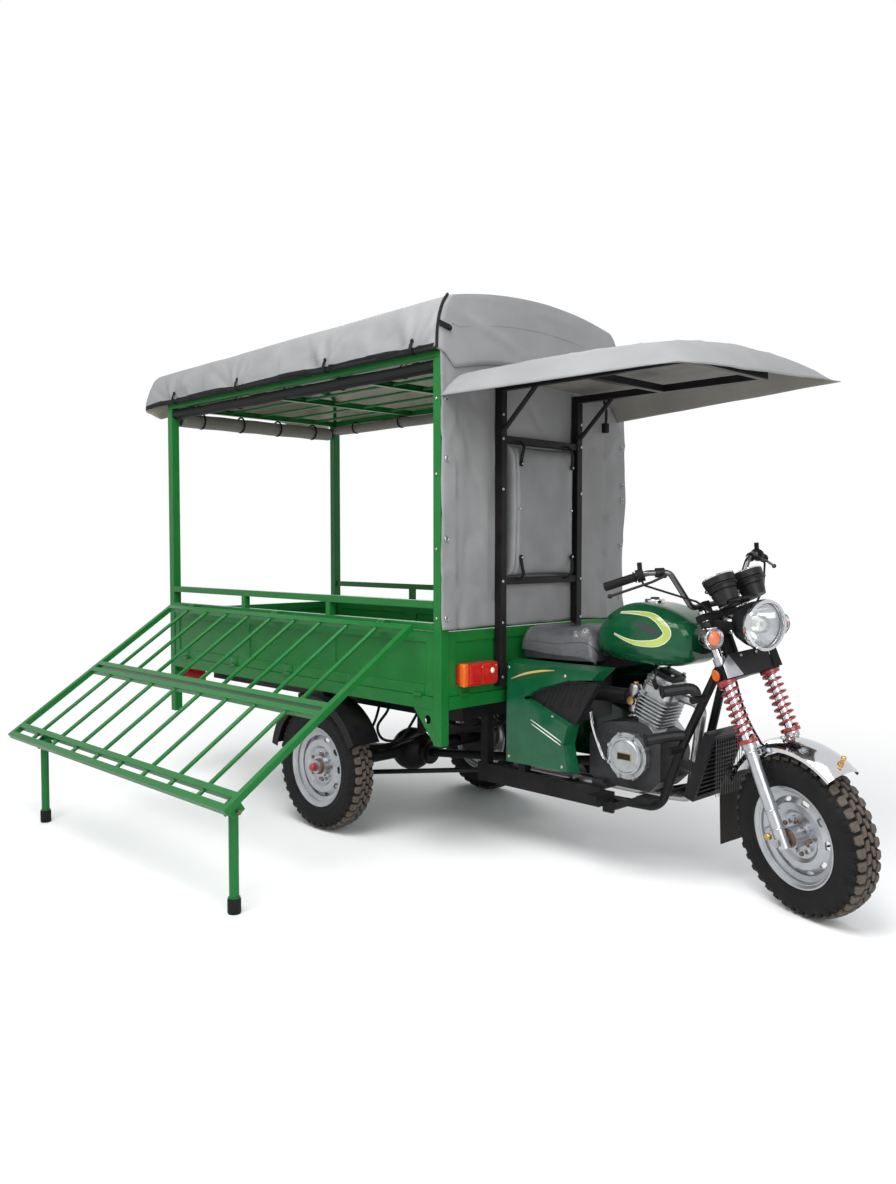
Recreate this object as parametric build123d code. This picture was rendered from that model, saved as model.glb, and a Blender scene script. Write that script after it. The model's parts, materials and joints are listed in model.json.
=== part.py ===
from build123d import *
import math
import os

# Layout, mm: X runs forward from the rear axle, Y to the left, Z up from the ground.
wheelbase = 2075
half_track = 544
rider_reach = 873

# Fits and clearances.
running_gap = 0.05
seat_gap = 0.3
moving_gap = 6
knuckle_gap = 3

# Wheels.
tyre_radius = 294
tyre_half_width = 67
tread_half = 36
lug_count = 30
lug_depth = 12
lug_length = 36
rim_radius = 184
rim_half_width = 57
bead_depth = 16.5
rim_slots = 10
axle_radius = 8
stub_radius = 22
drum_radius = 100

# Rear axle, springs and mudguards.
axle_tube_radius = 32
leaf_reach = 450
hanger_half = 22
leaf_width = 50
leaf_thickness = 8
leaf_count = 4
leaf_rise = 78
guard_gap = 32
guard_thickness = 5
guard_lip = 38
guard_to_sill = 21

# Cargo bed.
bed_gap = 67
bed_length = 2177
bed_overhang = 41
post_side = 45
front_foot_drop = 146
rear_foot_drop = 251
sill_height = 56
sill_width = 25
deck_thickness = 12
ledge_drop = 3
panel_height = 263
panel_thickness = 25
panel_inset = 5
press_depth = 6
press_margin = 45
lower_rail_rise = 35
upper_rail_rise = 125
rail_side = 30
canopy_height = 1393
lash_radius = 18
lash_plate = 6

# Canopy.
tarp_thickness = 4
roof_tail = 176
roof_overhang = 27
valance_gap = 13
shoulder_rise = 205
crown_rise = 259
bow_radius = 11
front_flap = 55
ladder_half = 255
ladder_side = 36
ladder_drop = 107
ladder_bar_drops = (931, 335)
awning_length = 1088
awning_overhang = 3
awning_rear_drops = (187, 83)
awning_front_drops = (143, 119)
awning_crown_drop = 33
awning_arm = 943
roll_radius = 30

# Side rack and its legs.
rack_inset_rear = 76
rack_inset_front = 130
rack_length = 1084
rack_slope = 34.2
rack_thickness = 26
rack_beam_width = 28
rack_bar_radius = 9
rack_hinge_out = 20
rack_hinge_drop = 10
rack_hinge_inset = 205
leg_inset_rear = 280
leg_inset_front = 45
leg_radius = 18
leg_pivot_inset = 44
leg_pivot_drop = 40
foot_height = 60
foot_lift = 1

# Chassis.
bearer_height = 50
rail_half = 330
rail_width = 40
rail_height = 80
hanger_drop = 60
low_rail_half = 150
low_rail_width = 40
low_rail_bottom = 270
low_rail_top = 350
cradle_radius = 17
spine_wide = 50
spine_tall = 55

# Fork.
rake = 22.5
steer_rest = 20
stem_offset = 47
stem_radius = 15
head_radius = 27
head_gap = 8
head_length = 159
leg_clearance = 36
leg_length = 366
fork_leg_radius = 22
fork_tube_radius = 17
spring_length = 213
spring_radius = 30
spring_wire = 5
spring_turns = 8
clamp_gap = 7
low_clamp_height = 54
high_clamp_height = 25
fender_gap = 51
fender_crown = 22
fender_thickness = 3
fender_angles = (52, 152)
flap_bottom = 165
bar_radius = 11
bar_rise = 42
grip_radius = 16
pod_radius = 24
lever_radius = 5
cable_radius = 4
lamp_radius = 88
lamp_reach = 268
lamp_drop = 58
gauge_radius = 60

# Rider's seat, tank and covers, along from the saddle post.
tank_sections = [
    # along, width, bottom, top, corner
    (335, 150, 872, 1000, 45),
    (410, 220, 858, 1062, 75),
    (540, 292, 848, 1092, 100),
    (670, 300, 850, 1072, 90),
    (755, 240, 866, 1030, 60),
    (780, 190, 884, 1005, 45),
]
seat_base = 838
seat_sections = [
    # along, width, top, corner
    (-38, 262, 968, 42),
    (40, 280, 970, 52),
    (140, 276, 964, 52),
    (230, 258, 980, 52),
    (290, 226, 984, 50),
    (325, 176, 925, 36),
]
cover_depth = 62
cover_wall = 4

sin_rake = math.sin(math.radians(rake))
cos_rake = math.cos(math.radians(rake))

# Heights along the fork, up from the front axle.
spring_high = leg_length + spring_length
clamp_low = (spring_high + clamp_gap, spring_high + clamp_gap + low_clamp_height)
head_low = clamp_low[1] + head_gap
head_high = head_low + head_length
head_mid = (head_low + head_high) / 2
clamp_high = (head_high + head_gap, head_high + head_gap + high_clamp_height)

# Turned to the side the front wheel leans, so its axle stands a little higher.
rest_turn = math.radians(steer_rest)
wheel_lean = sin_rake * math.sin(rest_turn)
front_height = tyre_radius * math.cos(math.asin(wheel_lean)) + tread_half * wheel_lean
front_height += stem_offset * sin_rake * (1 - math.cos(rest_turn))

# Lengths: the saddle post stands behind the steering head, the bed behind the post.
saddle_x = wheelbase - sin_rake * head_mid - cos_rake * stem_offset - rider_reach
bed_front = saddle_x - bed_gap
bed_rear = bed_front - bed_length
bed_half = half_track + bed_overhang
inner_front = bed_front - post_side
inner_rear = bed_rear + post_side
post_x = saddle_x - 220
low_rail_rear = post_x - 40
rail_front = max(post_x + 40, leaf_reach + hanger_half)
bearers = [bed_rear + 80 + (post_x - bed_rear - 80) * i / 3 for i in range(4)]
thirds = [inner_rear + (inner_front - inner_rear) * i / 3 for i in (1, 2)]

# Heights, stacked on the tyres.
guard_radius = tyre_radius + guard_gap
sill_bottom = tyre_radius + guard_radius + guard_thickness + guard_to_sill
deck_top = sill_bottom + sill_height
wall_foot = deck_top - ledge_drop
panel_top = deck_top + panel_height
lower_rail_top = panel_top + lower_rail_rise
upper_rail_top = panel_top + upper_rail_rise
rail_top = deck_top - deck_thickness - bearer_height
rail_bottom = rail_top - rail_height
leaf_end_top = rail_bottom - hanger_drop
leaf_centre_top = tyre_radius + leaf_rise
eave_top = deck_top + canopy_height
eave_low = eave_top - rail_side
valance_bottom = eave_top + valance_gap
shoulder = eave_top + shoulder_rise
crown = eave_top + crown_rise
ladder_top = eave_top - ladder_drop
fender_radius = tyre_radius + fender_gap
saddle_half = low_rail_half + low_rail_width / 2


def block(x0, x1, y0, y1, z0, z1):
    return Pos((x0 + x1) / 2, (y0 + y1) / 2, (z0 + z1) / 2) * Box(x1 - x0, y1 - y0, z1 - z0)


def rod(start, end, radius):
    start, end = Vector(*start), Vector(*end)
    return extrude(Plane(origin=start, z_dir=end - start) * Circle(radius), amount=(end - start).length)


def beam(start, end, wide, tall):
    start, end = Vector(*start), Vector(*end)
    side = Vector(0, 0, 1).cross(end - start)
    plane = Plane(origin=start, x_dir=side, z_dir=end - start)
    return extrude(plane * Rectangle(wide, tall), amount=(end - start).length)


def tube(points, radius, bend):
    path = FilletPolyline(*points, radius=bend)
    return sweep(Plane(origin=path @ 0, z_dir=path % 0) * Circle(radius), path=path)


def upright(y):
    return Plane(origin=(0, y, 0), x_dir=(1, 0, 0), z_dir=(0, -1, 0))


def side_plate(points, y0, y1):
    return extrude(upright(y0) * Polygon(*points, align=None), amount=y1 - y0, dir=(0, 1, 0))


def both_sides(shape):
    return [shape, mirror(shape, about=Plane.XZ)]


def fused(shapes):
    shapes = list(shapes)
    return shapes[0] + shapes[1:]


def from_saddle(points):
    return [(saddle_x + along, *rest) for along, *rest in points]


def fork_at(along, ahead, side):
    return (
        wheelbase - sin_rake * along + cos_rake * ahead,
        side,
        front_height + cos_rake * along + sin_rake * ahead,
    )


def fork_block(along, ahead, side):
    up = (-sin_rake, 0, cos_rake)
    plane = Plane(origin=fork_at(along[0], 0, 0), x_dir=(cos_rake, 0, sin_rake), z_dir=up)
    centre = ((ahead[0] + ahead[1]) / 2, (side[0] + side[1]) / 2)
    shape = plane * (Pos(*centre) * Rectangle(ahead[1] - ahead[0], side[1] - side[0]))
    return extrude(shape, amount=along[1] - along[0])


def fork_rod(along, ahead, side, radius):
    return rod(fork_at(along[0], ahead, side), fork_at(along[1], ahead, side), radius)


def steered(shape):
    axis = Axis(fork_at(0, -stem_offset, 0), (-sin_rake, 0, cos_rake))
    return shape.rotate(axis, -steer_rest)


nodes = {}


# Wheels, made about the Y axis with the outer face towards +Y.
def wheel_tyre():
    floor = tyre_radius - lug_depth
    bead_y = rim_half_width - 6
    half_section = [
        (bead_y, rim_radius - bead_depth + seat_gap), (bead_y, rim_radius + 6),
        (tyre_half_width, tyre_radius - 58), (tread_half, floor),
    ]
    section_line = half_section + [(-y, r) for y, r in reversed(half_section)]
    half_pitch = math.pi / lug_count
    reach = (floor + 1) * math.tan(half_pitch)
    across_tread = Plane(origin=(-reach, 0, 0), x_dir=(0, 1, 0), z_dir=(1, 0, 0))
    wedge_line = [(0, 0), (reach, floor + 1), (-reach, floor + 1)]
    slice_wedge = side_plate(wedge_line, -tyre_half_width, tyre_half_width)
    slice_bar = extrude(across_tread * Polygon(*section_line, align=None), amount=2 * reach, dir=(1, 0, 0))
    slice_solid = slice_bar & slice_wedge
    lug_line = [
        (4, floor - 2), (4, tyre_radius), (tread_half, tyre_radius), (tyre_half_width - 5, tyre_radius - 22),
        (tyre_half_width - 16, tyre_radius - 37),
    ]
    lug_plane = Plane(origin=(-lug_length / 2, 0, 0), x_dir=(0, 1, 0), z_dir=(1, 0, 0))
    lug = extrude(lug_plane * Polygon(*lug_line, align=None), amount=lug_length, dir=(1, 0, 0))
    other_lug = mirror(lug, about=Plane.XZ)
    pitch = 360 / lug_count
    pieces = []
    for i in range(lug_count):
        pieces += [Rot(0, pitch * i, 0) * slice_solid, Rot(0, pitch * i, 0) * lug]
        pieces.append(Rot(0, pitch * (i + 0.5), 0) * other_lug)
    return fused(pieces)


def wheel_rim():
    bead = rim_radius - bead_depth
    lip = rim_half_width
    outer = [(rim_radius, lip), (rim_radius, lip - 5), (bead, lip - 7), (bead, lip - 27), (bead - 19, lip - 35)]
    inner = [
        (rim_radius - 5, -lip), (bead - 5, 12 - lip), (bead - 5, 23 - lip), (bead - 25, 31 - lip),
        (bead - 25, lip - 49), (118, 27), (97, 27), (82, 17), (30, 17),
    ]
    face = [
        (30, 23), (82, 23), (95, 33), (120, 33), (bead - 25, lip - 39), (bead - 25, lip - 31),
        (bead - 5, lip - 23), (bead - 5, lip - 12), (rim_radius - 5, lip),
    ]
    profile = outer + [(r, -y) for r, y in reversed(outer)] + inner + face
    rim = revolve(Polygon(*profile, align=None), axis=Axis.Y)
    slot_plane = Plane(origin=(131, 0, 0), x_dir=(0, 0, 1), z_dir=(0, 1, 0))
    slot = extrude(slot_plane * SlotOverall(34, 15), amount=60)
    studs = [Rot(0, 72 * i, 0) * rod((62, 20, 0), (62, 32, 0), 9) for i in range(5)]
    return rim + studs - [Rot(0, 360 / rim_slots * i, 0) * slot for i in range(rim_slots)]


def at_wheel(shape, place, outward):
    turned = shape if outward > 0 else Rot(0, 0, 180) * shape
    return Pos(*place) * turned


tyre = wheel_tyre()
rim = wheel_rim()
front_hub_half = 72
front_centre = (wheelbase, 0, front_height)
front_hub = rod((0, -front_hub_half, 0), (0, front_hub_half, 0), 38)
front_bore = rod((0, -100, 0), (0, 100, 0), axle_radius + running_gap)
nodes["front_tyre"] = steered(at_wheel(tyre, front_centre, -1))
nodes["front_rim"] = steered(at_wheel(rim + front_hub - front_bore, front_centre, -1))

hub_in = 50
drum_in = 82
stub_depth = 20
rear_hub = rod((0, -hub_in, 0), (0, 40, 0), 50) + rod((0, 40, 0), (0, 62, 0), 30)
rear_drum = rod((0, -drum_in, 0), (0, -40, 0), drum_radius) - rod((0, -drum_in, 0), (0, -hub_in, 0), 60)
rear_bore = rod((0, -drum_in, 0), (0, stub_depth, 0), stub_radius + running_gap)
rear_rim = rim + rear_hub + rear_drum - rear_bore
for name, sign in (("rear_right", -1), ("rear_left", 1)):
    nodes[name + "_tyre"] = at_wheel(tyre, (0, sign * half_track, tyre_radius), sign)
    nodes[name + "_rim"] = at_wheel(rear_rim, (0, sign * half_track, tyre_radius), sign)

# Rear axle with differential, spring seats, brake plates and a radius rod.
plate_face = half_track - drum_in - moving_gap
axle_parts = [
    rod((0, -plate_face, tyre_radius), (0, plate_face, tyre_radius), axle_tube_radius),
    Pos(0, 0, tyre_radius) * Sphere(105),
    rod((0, 0, tyre_radius), (150, 0, tyre_radius), 45),
    rod((120, 0, tyre_radius), (140, 0, tyre_radius), 58),
]
leaf_pack = leaf_thickness * leaf_count
for sign in (-1, 1):
    stub_end = sign * (half_track + stub_depth - moving_gap)
    axle_parts.append(rod((0, 0, tyre_radius), (0, stub_end, tyre_radius), stub_radius))
    axle_parts.append(rod((0, sign * (plate_face - 10), tyre_radius), (0, sign * plate_face, tyre_radius), 104))
    seat_y = sign * rail_half
    axle_parts.append(block(-45, 45, seat_y - 28, seat_y + 28, tyre_radius, leaf_centre_top - leaf_pack))
rod_rear = (0, -rail_half - 60, tyre_radius - 60)
rod_front = (low_rail_rear - seat_gap, -low_rail_half, low_rail_bottom + 40)
axle_parts.append(rod((0, rod_rear[1], tyre_radius), rod_rear, 18))
axle_parts.append(rod(rod_rear, rod_front, 11))
rod_trim = block(rod_front[0], rod_front[0] + 60, -300, 0, low_rail_bottom, low_rail_top)
nodes["rear_axle"] = fused(axle_parts) - rod_trim

# Leaf springs: stacked arcs on each side with an eye at each end.
leaf_drop = leaf_end_top - leaf_centre_top
leaf_curve = (leaf_reach**2 + leaf_drop**2) / (2 * leaf_drop)
leaf_plane = Plane(
    origin=(0, rail_half - leaf_width / 2, leaf_centre_top + leaf_curve), x_dir=(1, 0, 0), z_dir=(0, -1, 0)
)
leaves = []
for i in range(leaf_count):
    ring = Circle(leaf_curve + leaf_thickness * (i + 1)) - Circle(leaf_curve + leaf_thickness * i)
    reach = leaf_reach * (1 - 0.22 * i)
    window = Pos(0, -leaf_curve) * Rectangle(2 * reach, leaf_curve)
    leaves.append(extrude(leaf_plane * (ring & window), amount=leaf_width, dir=(0, 1, 0)))
for sign in (-1, 1):
    eye = (sign * leaf_reach, leaf_end_top - leaf_thickness / 2)
    leaves.append(rod((eye[0], rail_half - 25, eye[1]), (eye[0], rail_half + 25, eye[1]), 16))
nodes["leaf_springs"] = Part() + both_sides(fused(leaves))

# Bed chassis: two rails, bearers under the deck and spring hangers.
chassis = []
for sign in (-1, 1):
    y = sign * rail_half
    y0, y1 = y - rail_width / 2, y + rail_width / 2
    chassis.append(block(bed_rear + 60, rail_front, y0, y1, rail_bottom, rail_top))
    for x in (-leaf_reach, leaf_reach):
        x0, x1 = x - hanger_half, x + hanger_half
        for edge in (-28, 28):
            chassis.append(block(x0, x1, y + edge - 3, y + edge + 3, leaf_end_top - 25, rail_bottom))
        chassis.append(block(x0, x1, y - 31, y + 31, rail_bottom - 12, rail_bottom))
bearer_half = bed_half - 50
for x in bearers:
    chassis.append(block(x - 20, x + 20, -bearer_half, bearer_half, rail_top, deck_top - deck_thickness))
    chassis.append(block(x - 20, x + 20, -rail_half, rail_half, rail_bottom, rail_top))
nodes["bed_chassis"] = fused(chassis)

# Main frame: low rails, uprights, backbone, cradle, crash pegs and steering head.
low_rail_front = saddle_x + 410
spine_front = fork_at(head_mid, -stem_offset - 10, 0)
spine_rear = (saddle_x + 350, 0, 835)
frame_parts = [
    beam(spine_front, spine_rear, spine_wide, spine_tall),
    beam((saddle_x + 360, 0, 836), (saddle_x - 20, 0, 805), spine_wide, 50),
    block(saddle_x - 20, saddle_x + 20, -saddle_half, saddle_half, 780, 820),
    block(post_x - 20, post_x + 20, -saddle_half, saddle_half, low_rail_bottom, low_rail_bottom + 40),
    block(saddle_x + 120, saddle_x + 160, -140, 140, low_rail_bottom, low_rail_bottom + 40),
    rod((saddle_x + 680, -112, 360), (saddle_x + 680, 112, 360), 12),
]
for sign in (-1, 1):
    y = sign * low_rail_half
    y0, y1 = y - low_rail_width / 2, y + low_rail_width / 2
    frame_parts.append(block(low_rail_rear, low_rail_front, y0, y1, low_rail_bottom, low_rail_top))
    frame_parts.append(block(post_x - 20, post_x + 20, y0, y1, low_rail_bottom, rail_bottom))
    frame_parts.append(block(saddle_x - 20, saddle_x + 20, y0, y1, low_rail_bottom, 820))
    cradle_line = [fork_at(head_low + 40, -stem_offset - 15, sign * 12)]
    cradle_line += from_saddle([(740, sign * 100, 540), (665, sign * 118, 306), (380, y, 306)])
    frame_parts.append(tube(cradle_line, cradle_radius, 70))
    for along, inside, z in ((814, 45, 742), (741, 92, 545)):
        x = saddle_x + along
        frame_parts.append(rod((x, sign * inside, z), (x, sign * (inside + 95), z), 15))
head = fork_rod((head_low, head_high), -stem_offset, 0, head_radius)
head_bore = fork_rod((head_low - 20, head_high + 20), -stem_offset, 0, stem_radius)
nodes["main_frame"] = fused(frame_parts + [head]) - head_bore

# Engine with leaning finned cylinder.
lean = math.radians(20)
case_outline = from_saddle([
    (310, 380), (370, 352), (600, 352), (650, 400), (650, 560), (600, 612), (490, 618), (370, 600), (310, 540),
])
case_half = 100
case = side_plate(case_outline, -case_half, case_half)
engine = fillet(case.edges().filter_by(Axis.Y), 16)
mount_half = low_rail_half - low_rail_width / 2
engine += block(saddle_x + 345, saddle_x + 395, -mount_half, mount_half, 330, 370)
up = (math.sin(lean), 0, math.cos(lean))
barrel = Plane(origin=(saddle_x + 548, 0, 600), x_dir=(math.cos(lean), 0, -math.sin(lean)), z_dir=up)
fins = [
    # height, length, width, corner, thickness
    (0, 108, 112, 20, 205),
    (138, 140, 140, 30, 30),
    (168, 112, 124, 26, 45),
]
fins += [(26 + 15 * i, 138 + 2 * i, 146, 24, 5) for i in range(7)]
fins += [(172 + 12 * i, 128, 140, 26, 4) for i in range(3)]
for height, length, width, corner, thickness in fins:
    engine += extrude(barrel.offset(height) * RectangleRounded(length, width, corner), amount=thickness)
for along, z, radius, depth in ((540, 480, 98, 32), (390, 470, 62, 22)):
    x = saddle_x + along
    engine += rod((x, case_half, z), (x, case_half + depth, z), radius)
nodes["engine"] = engine
clutch_x, clutch_z = saddle_x + 510, 485
clutch_face = upright(-case_half)
clutch_spot = Pos(clutch_x, clutch_z)
clutch = extrude(clutch_face * (clutch_spot * Circle(92)), amount=26)
clutch += extrude(clutch_face * (clutch_spot * Circle(80)), amount=36, taper=10)
clutch += extrude(clutch_face.offset(36) * (clutch_spot * Ellipse(48, 25)), amount=4)
for i in range(8):
    angle = math.tau * (i + 0.5) / 8
    x, z = clutch_x + 88 * math.cos(angle), clutch_z + 88 * math.sin(angle)
    clutch += rod((x, -case_half, z), (x, -case_half - 30, z), 9)
nodes["engine_cover"] = clutch

# Intake: carburettor and air box behind the cylinder.
port = barrel.from_local_coords((-54, 0, 95))
pipe_z = port.Z - 8
intake = rod((port.X, 0, port.Z), (saddle_x + 420, 0, pipe_z), 26)
intake += rod((saddle_x + 465, 0, 640), (saddle_x + 465, 0, 745), 24)
intake += rod((saddle_x + 430, 0, pipe_z), (saddle_x + 260, 0, pipe_z), 32)
intake += block(saddle_x + 60, saddle_x + 270, -105, 105, 590, 770)
nodes["intake"] = intake - engine

# Exhaust: header down the front, silencer between the low rails.
exhaust_port = barrel.from_local_coords((60, 0, 150))
header_line = [(exhaust_port.X, 20, exhaust_port.Z)]
header_line += from_saddle([(760, 20, 700), (708, 20, 330), (600, 40, 318), (140, 40, 318)])
exhaust = tube(header_line, 19, 45)
exhaust += rod((saddle_x + 150, 40, 318), (saddle_x - 190, 40, 318), 48)
exhaust += block(saddle_x - 40, saddle_x - 10, 80, mount_half, 306, 330)
nodes["exhaust"] = exhaust - engine - nodes["main_frame"]

# Radiator tilted along the down tubes, with a slatted front.
tilt = math.radians(19)
radiator_x = wheelbase - fender_radius - 98
cooler = Plane(origin=(radiator_x, 0, 372), x_dir=(0, 1, 0), z_dir=(math.sin(tilt), 0, math.cos(tilt)))
radiator = extrude(cooler * (Pos(0, -32) * Rectangle(230, 44)), amount=270)
for i in range(12):
    radiator -= extrude(cooler.offset(21 + 19.5 * i) * (Pos(0, -50) * Rectangle(196, 16)), amount=13)
for side in (-95, 95):
    radiator += extrude(cooler.offset(100) * (Pos(side, 25) * Rectangle(30, 74)), amount=30)
nodes["radiator"] = radiator - nodes["main_frame"] - exhaust

# Foot controls: peg bar, pegs, brake pedal and gear lever.
peg_x = saddle_x + 465
peg_bar = low_rail_bottom + 6
pegs = rod((peg_x, -185, peg_bar), (peg_x, 185, peg_bar), 13)
for sign in (-1, 1):
    bracket = sorted((sign * 172, sign * 186))
    rubber = sorted((sign * 180, sign * 290))
    pedal = sorted((sign * 172, sign * 240))
    pegs += block(peg_x - 24, peg_x + 24, *bracket, peg_bar - 13, peg_bar + 72)
    pegs += block(peg_x - 24, peg_x + 24, *rubber, peg_bar + 38, peg_bar + 72)
    pegs += beam((peg_x, sign * 179, peg_bar + 10), (peg_x + 200, sign * 179, peg_bar + 76), 12, 22)
    pegs += block(peg_x + 170, peg_x + 230, *pedal, peg_bar + 76, peg_bar + 92)
nodes["foot_controls"] = pegs - nodes["main_frame"]


# Tank, filler cap and seat.
def section(along, width, bottom, top, corner):
    plane = Plane(origin=(saddle_x + along, 0, (bottom + top) / 2), x_dir=(0, 1, 0), z_dir=(1, 0, 0))
    return plane * RectangleRounded(width, top - bottom, corner)


spine_run = Vector(*spine_rear) - Vector(*spine_front)
tunnel_ends = Vector(*spine_front) - spine_run * 0.1, Vector(*spine_rear) + spine_run * 0.1
tunnel = beam(*tunnel_ends, spine_wide + 2 * seat_gap, spine_tall + 2 * seat_gap)
cap_x = saddle_x + 552
cap = rod((cap_x, 0, 1060), (cap_x, 0, 1104), 40)
nodes["fuel_tank"] = loft([section(*row) for row in tank_sections]) - tunnel - cap
nodes["tank_cap"] = fillet(cap.edges().sort_by(Axis.Z)[-1], 7)
seat = loft([section(along, wide, seat_base, top, corner) for along, wide, top, corner in seat_sections])
notch = spine_wide / 2 + seat_gap
nodes["seat"] = seat - block(saddle_x - 42, saddle_x + 360, -notch, notch, 800, 868)

# Side covers: tapered shells outside the frame, each with a ribbed insert.
cover_inner = saddle_half + seat_gap
cover_outline = from_saddle([
    (-45, 384), (315, 390), (289, 507), (314, 598), (94, 681), (156, 715), (302, 761), (422, 773),
    (489, 837), (245, 834), (-38, 834), (-44, 614),
])
insert_outline = from_saddle([(316, 590), (432, 776), (300, 770), (146, 724), (70, 683)])
cover_face = upright(-cover_inner) * Polygon(*cover_outline, align=None)
cover = extrude(cover_face, amount=cover_depth, taper=12)
hollow = extrude(offset(cover_face, -cover_wall), amount=cover_depth - cover_wall, taper=12)
nodes["side_covers"] = Part() + both_sides(cover - hollow)
insert = side_plate(insert_outline, -cover_inner - 35, -cover_inner)
for i in range(5):
    rib_x, rib_y = saddle_x + 150 + 45 * i, -cover_inner - 35
    insert += rod((rib_x, rib_y, 650 + 4 * i), (rib_x + 40, rib_y, 740 + 6 * i), 5)
insert_bound = side_plate(insert_outline, -cover_inner - 60, -cover_inner)
nodes["cover_inserts"] = Part() + both_sides((insert & insert_bound) - cover)

# Drive shaft with its joints, beneath the bed.
shaft_mid = (saddle_x + 160, -60, 405)
shaft = rod((saddle_x + 320, -60, 430), shaft_mid, 20) + Pos(*shaft_mid) * Sphere(32)
shaft += rod(shaft_mid, (140, 0, tyre_radius), 20)
nodes["drive_shaft"] = shaft - nodes["engine"] - nodes["rear_axle"]

# Deck with folded sill, notched round the posts.
under_deck = deck_top - deck_thickness
sill_in = bed_half - sill_width
deck = block(bed_rear, bed_front, -bed_half, bed_half, sill_bottom, deck_top)
deck -= block(bed_rear + sill_width, bed_front - sill_width, -sill_in, sill_in, 0, under_deck)
for x in (bed_rear + post_side / 2, bed_front - post_side / 2):
    for y in (post_side / 2 - bed_half, bed_half - post_side / 2):
        deck -= Pos(x, y, deck_top) * Box(post_side, post_side, 400)

# Ledges beside the deck, on which the fixed walls stand.
wall_in = bed_half - panel_inset - panel_thickness
front_wall_in = bed_front - panel_inset - panel_thickness
deck -= block(inner_rear, bed_front, -bed_half, -wall_in, wall_foot, deck_top)
deck -= block(front_wall_in, bed_front, -bed_half, bed_half, wall_foot, deck_top)

# Posts with feet; the front ones carry a lashing plate.
lash_x, lash_z = inner_front - 34, sill_bottom - 42
posts = []
for sign in (-1, 1):
    low_y, high_y = sorted((sign * bed_half, sign * (bed_half - post_side)))
    posts.append(block(bed_rear, inner_rear, low_y, high_y, sill_bottom - rear_foot_drop, eave_low))
    post = block(inner_front, bed_front, low_y, high_y, sill_bottom - front_foot_drop, eave_low)
    plate_line = [(inner_front, lash_z - 94), (inner_front, sill_bottom), (inner_front - 120, sill_bottom)]
    plate_low, plate_high = sorted((sign * bed_half, sign * (bed_half - lash_plate)))
    plate = side_plate(plate_line, plate_low, plate_high)
    hole_ends = [(lash_x, sign * y, lash_z) for y in (bed_half + 10, bed_half - 20)]
    plate -= rod(*hole_ends, lash_radius)
    posts.append(post + plate)
nodes["bed_posts"] = Part() + posts


# Side walls with pressed fields.
def pressed_panel(x0, x1, low, high, fields):
    panel = block(x0, x1, -panel_thickness, 0, low, high)
    step = (x1 - x0) / fields
    for i in range(fields):
        left, right = x0 + step * i + press_margin, x0 + step * (i + 1) - press_margin
        for back, front in ((-press_depth, 0), (-panel_thickness, press_depth - panel_thickness)):
            panel -= block(left, right, back, front, low + press_margin, high - press_margin)
    return panel


face_y = bed_half - panel_inset
right_panel = mirror(pressed_panel(inner_rear, inner_front, wall_foot, panel_top, 3), about=Plane.XZ)
nodes["bed_right_panel"] = Pos(0, -face_y, 0) * right_panel
across = bed_half - post_side
front_panel = pressed_panel(-across, across, wall_foot, panel_top, 1)
nodes["bed_front_panel"] = Pos(bed_front - panel_inset, 0, 0) * (Rot(0, 0, -90) * front_panel)

# Drop hinges: fixed lugs with pins on the sill, knuckles on the panel.
drop_out = 16
drop_pin = 5
drop_knuckle = 10
drop_lug = 8
drop_long = 14
drop_height = deck_top - 2


def hinge_fixed(x):
    near, far = x - drop_lug / 2, x + drop_lug / 2
    lug = block(near, far, 0, drop_out, drop_height - drop_knuckle, drop_height + drop_knuckle)
    lug += rod((near, drop_out, drop_height), (far, drop_out, drop_height), drop_knuckle)
    reach = drop_lug / 2 + knuckle_gap + drop_long
    return lug + rod((x - reach, drop_out, drop_height), (x + reach, drop_out, drop_height), drop_pin)


def hinge_moving(x):
    pin = rod((x - 60, drop_out, drop_height), (x + 60, drop_out, drop_height), drop_pin + running_gap)
    parts = []
    for sign in (-1, 1):
        near = x + sign * (drop_lug / 2 + knuckle_gap)
        low_x, high_x = sorted((near, near + sign * drop_long))
        knuckle = rod((low_x, drop_out, drop_height), (high_x, drop_out, drop_height), drop_knuckle)
        knuckle += block(low_x, high_x, -panel_inset - 1, drop_out + 6, deck_top + moving_gap, deck_top + 40)
        parts.append(knuckle - pin)
    return parts


panel_foot = deck_top + moving_gap
left_x0, left_x1 = inner_rear + moving_gap, inner_front - moving_gap
left_panel = Pos(0, -panel_inset, 0) * pressed_panel(left_x0, left_x1, panel_foot, panel_top, 3)
bed_middle = (bed_rear + bed_front) / 2
for x in (bed_rear + 214, bed_middle, bed_front - 213):
    left_panel += hinge_moving(x)
    deck += Pos(0, bed_half, 0) * hinge_fixed(x)
nodes["left_panel"] = Pos(0, bed_half, 0) * left_panel
gate_half = across - moving_gap
gate = Pos(0, -panel_inset, 0) * pressed_panel(-gate_half, gate_half, panel_foot, panel_top, 2)
for x in (160 - across, across - 160):
    gate += hinge_moving(x)
    deck += Pos(bed_rear, 0, 0) * (Rot(0, 0, 90) * hinge_fixed(x))
nodes["tailgate"] = Pos(bed_rear, 0, 0) * (Rot(0, 0, 90) * gate)
nodes["bed_floor"] = deck

# Rails above the side walls; the right one carries the rack hinges.
rack_pin = 6
rack_knuckle = 12
rack_axis = bed_half + rack_hinge_out
rack_hinge_height = lower_rail_top - rack_hinge_drop
rack_rear = bed_rear + rack_inset_rear
rack_front = bed_front - rack_inset_front
rack_hinges = (rack_rear + rack_hinge_inset, (rack_rear + rack_front) / 2, rack_front - rack_hinge_inset)


def hinge_rod(x0, x1, radius):
    return rod((x0, -rack_axis, rack_hinge_height), (x1, -rack_axis, rack_hinge_height), radius)


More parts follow.
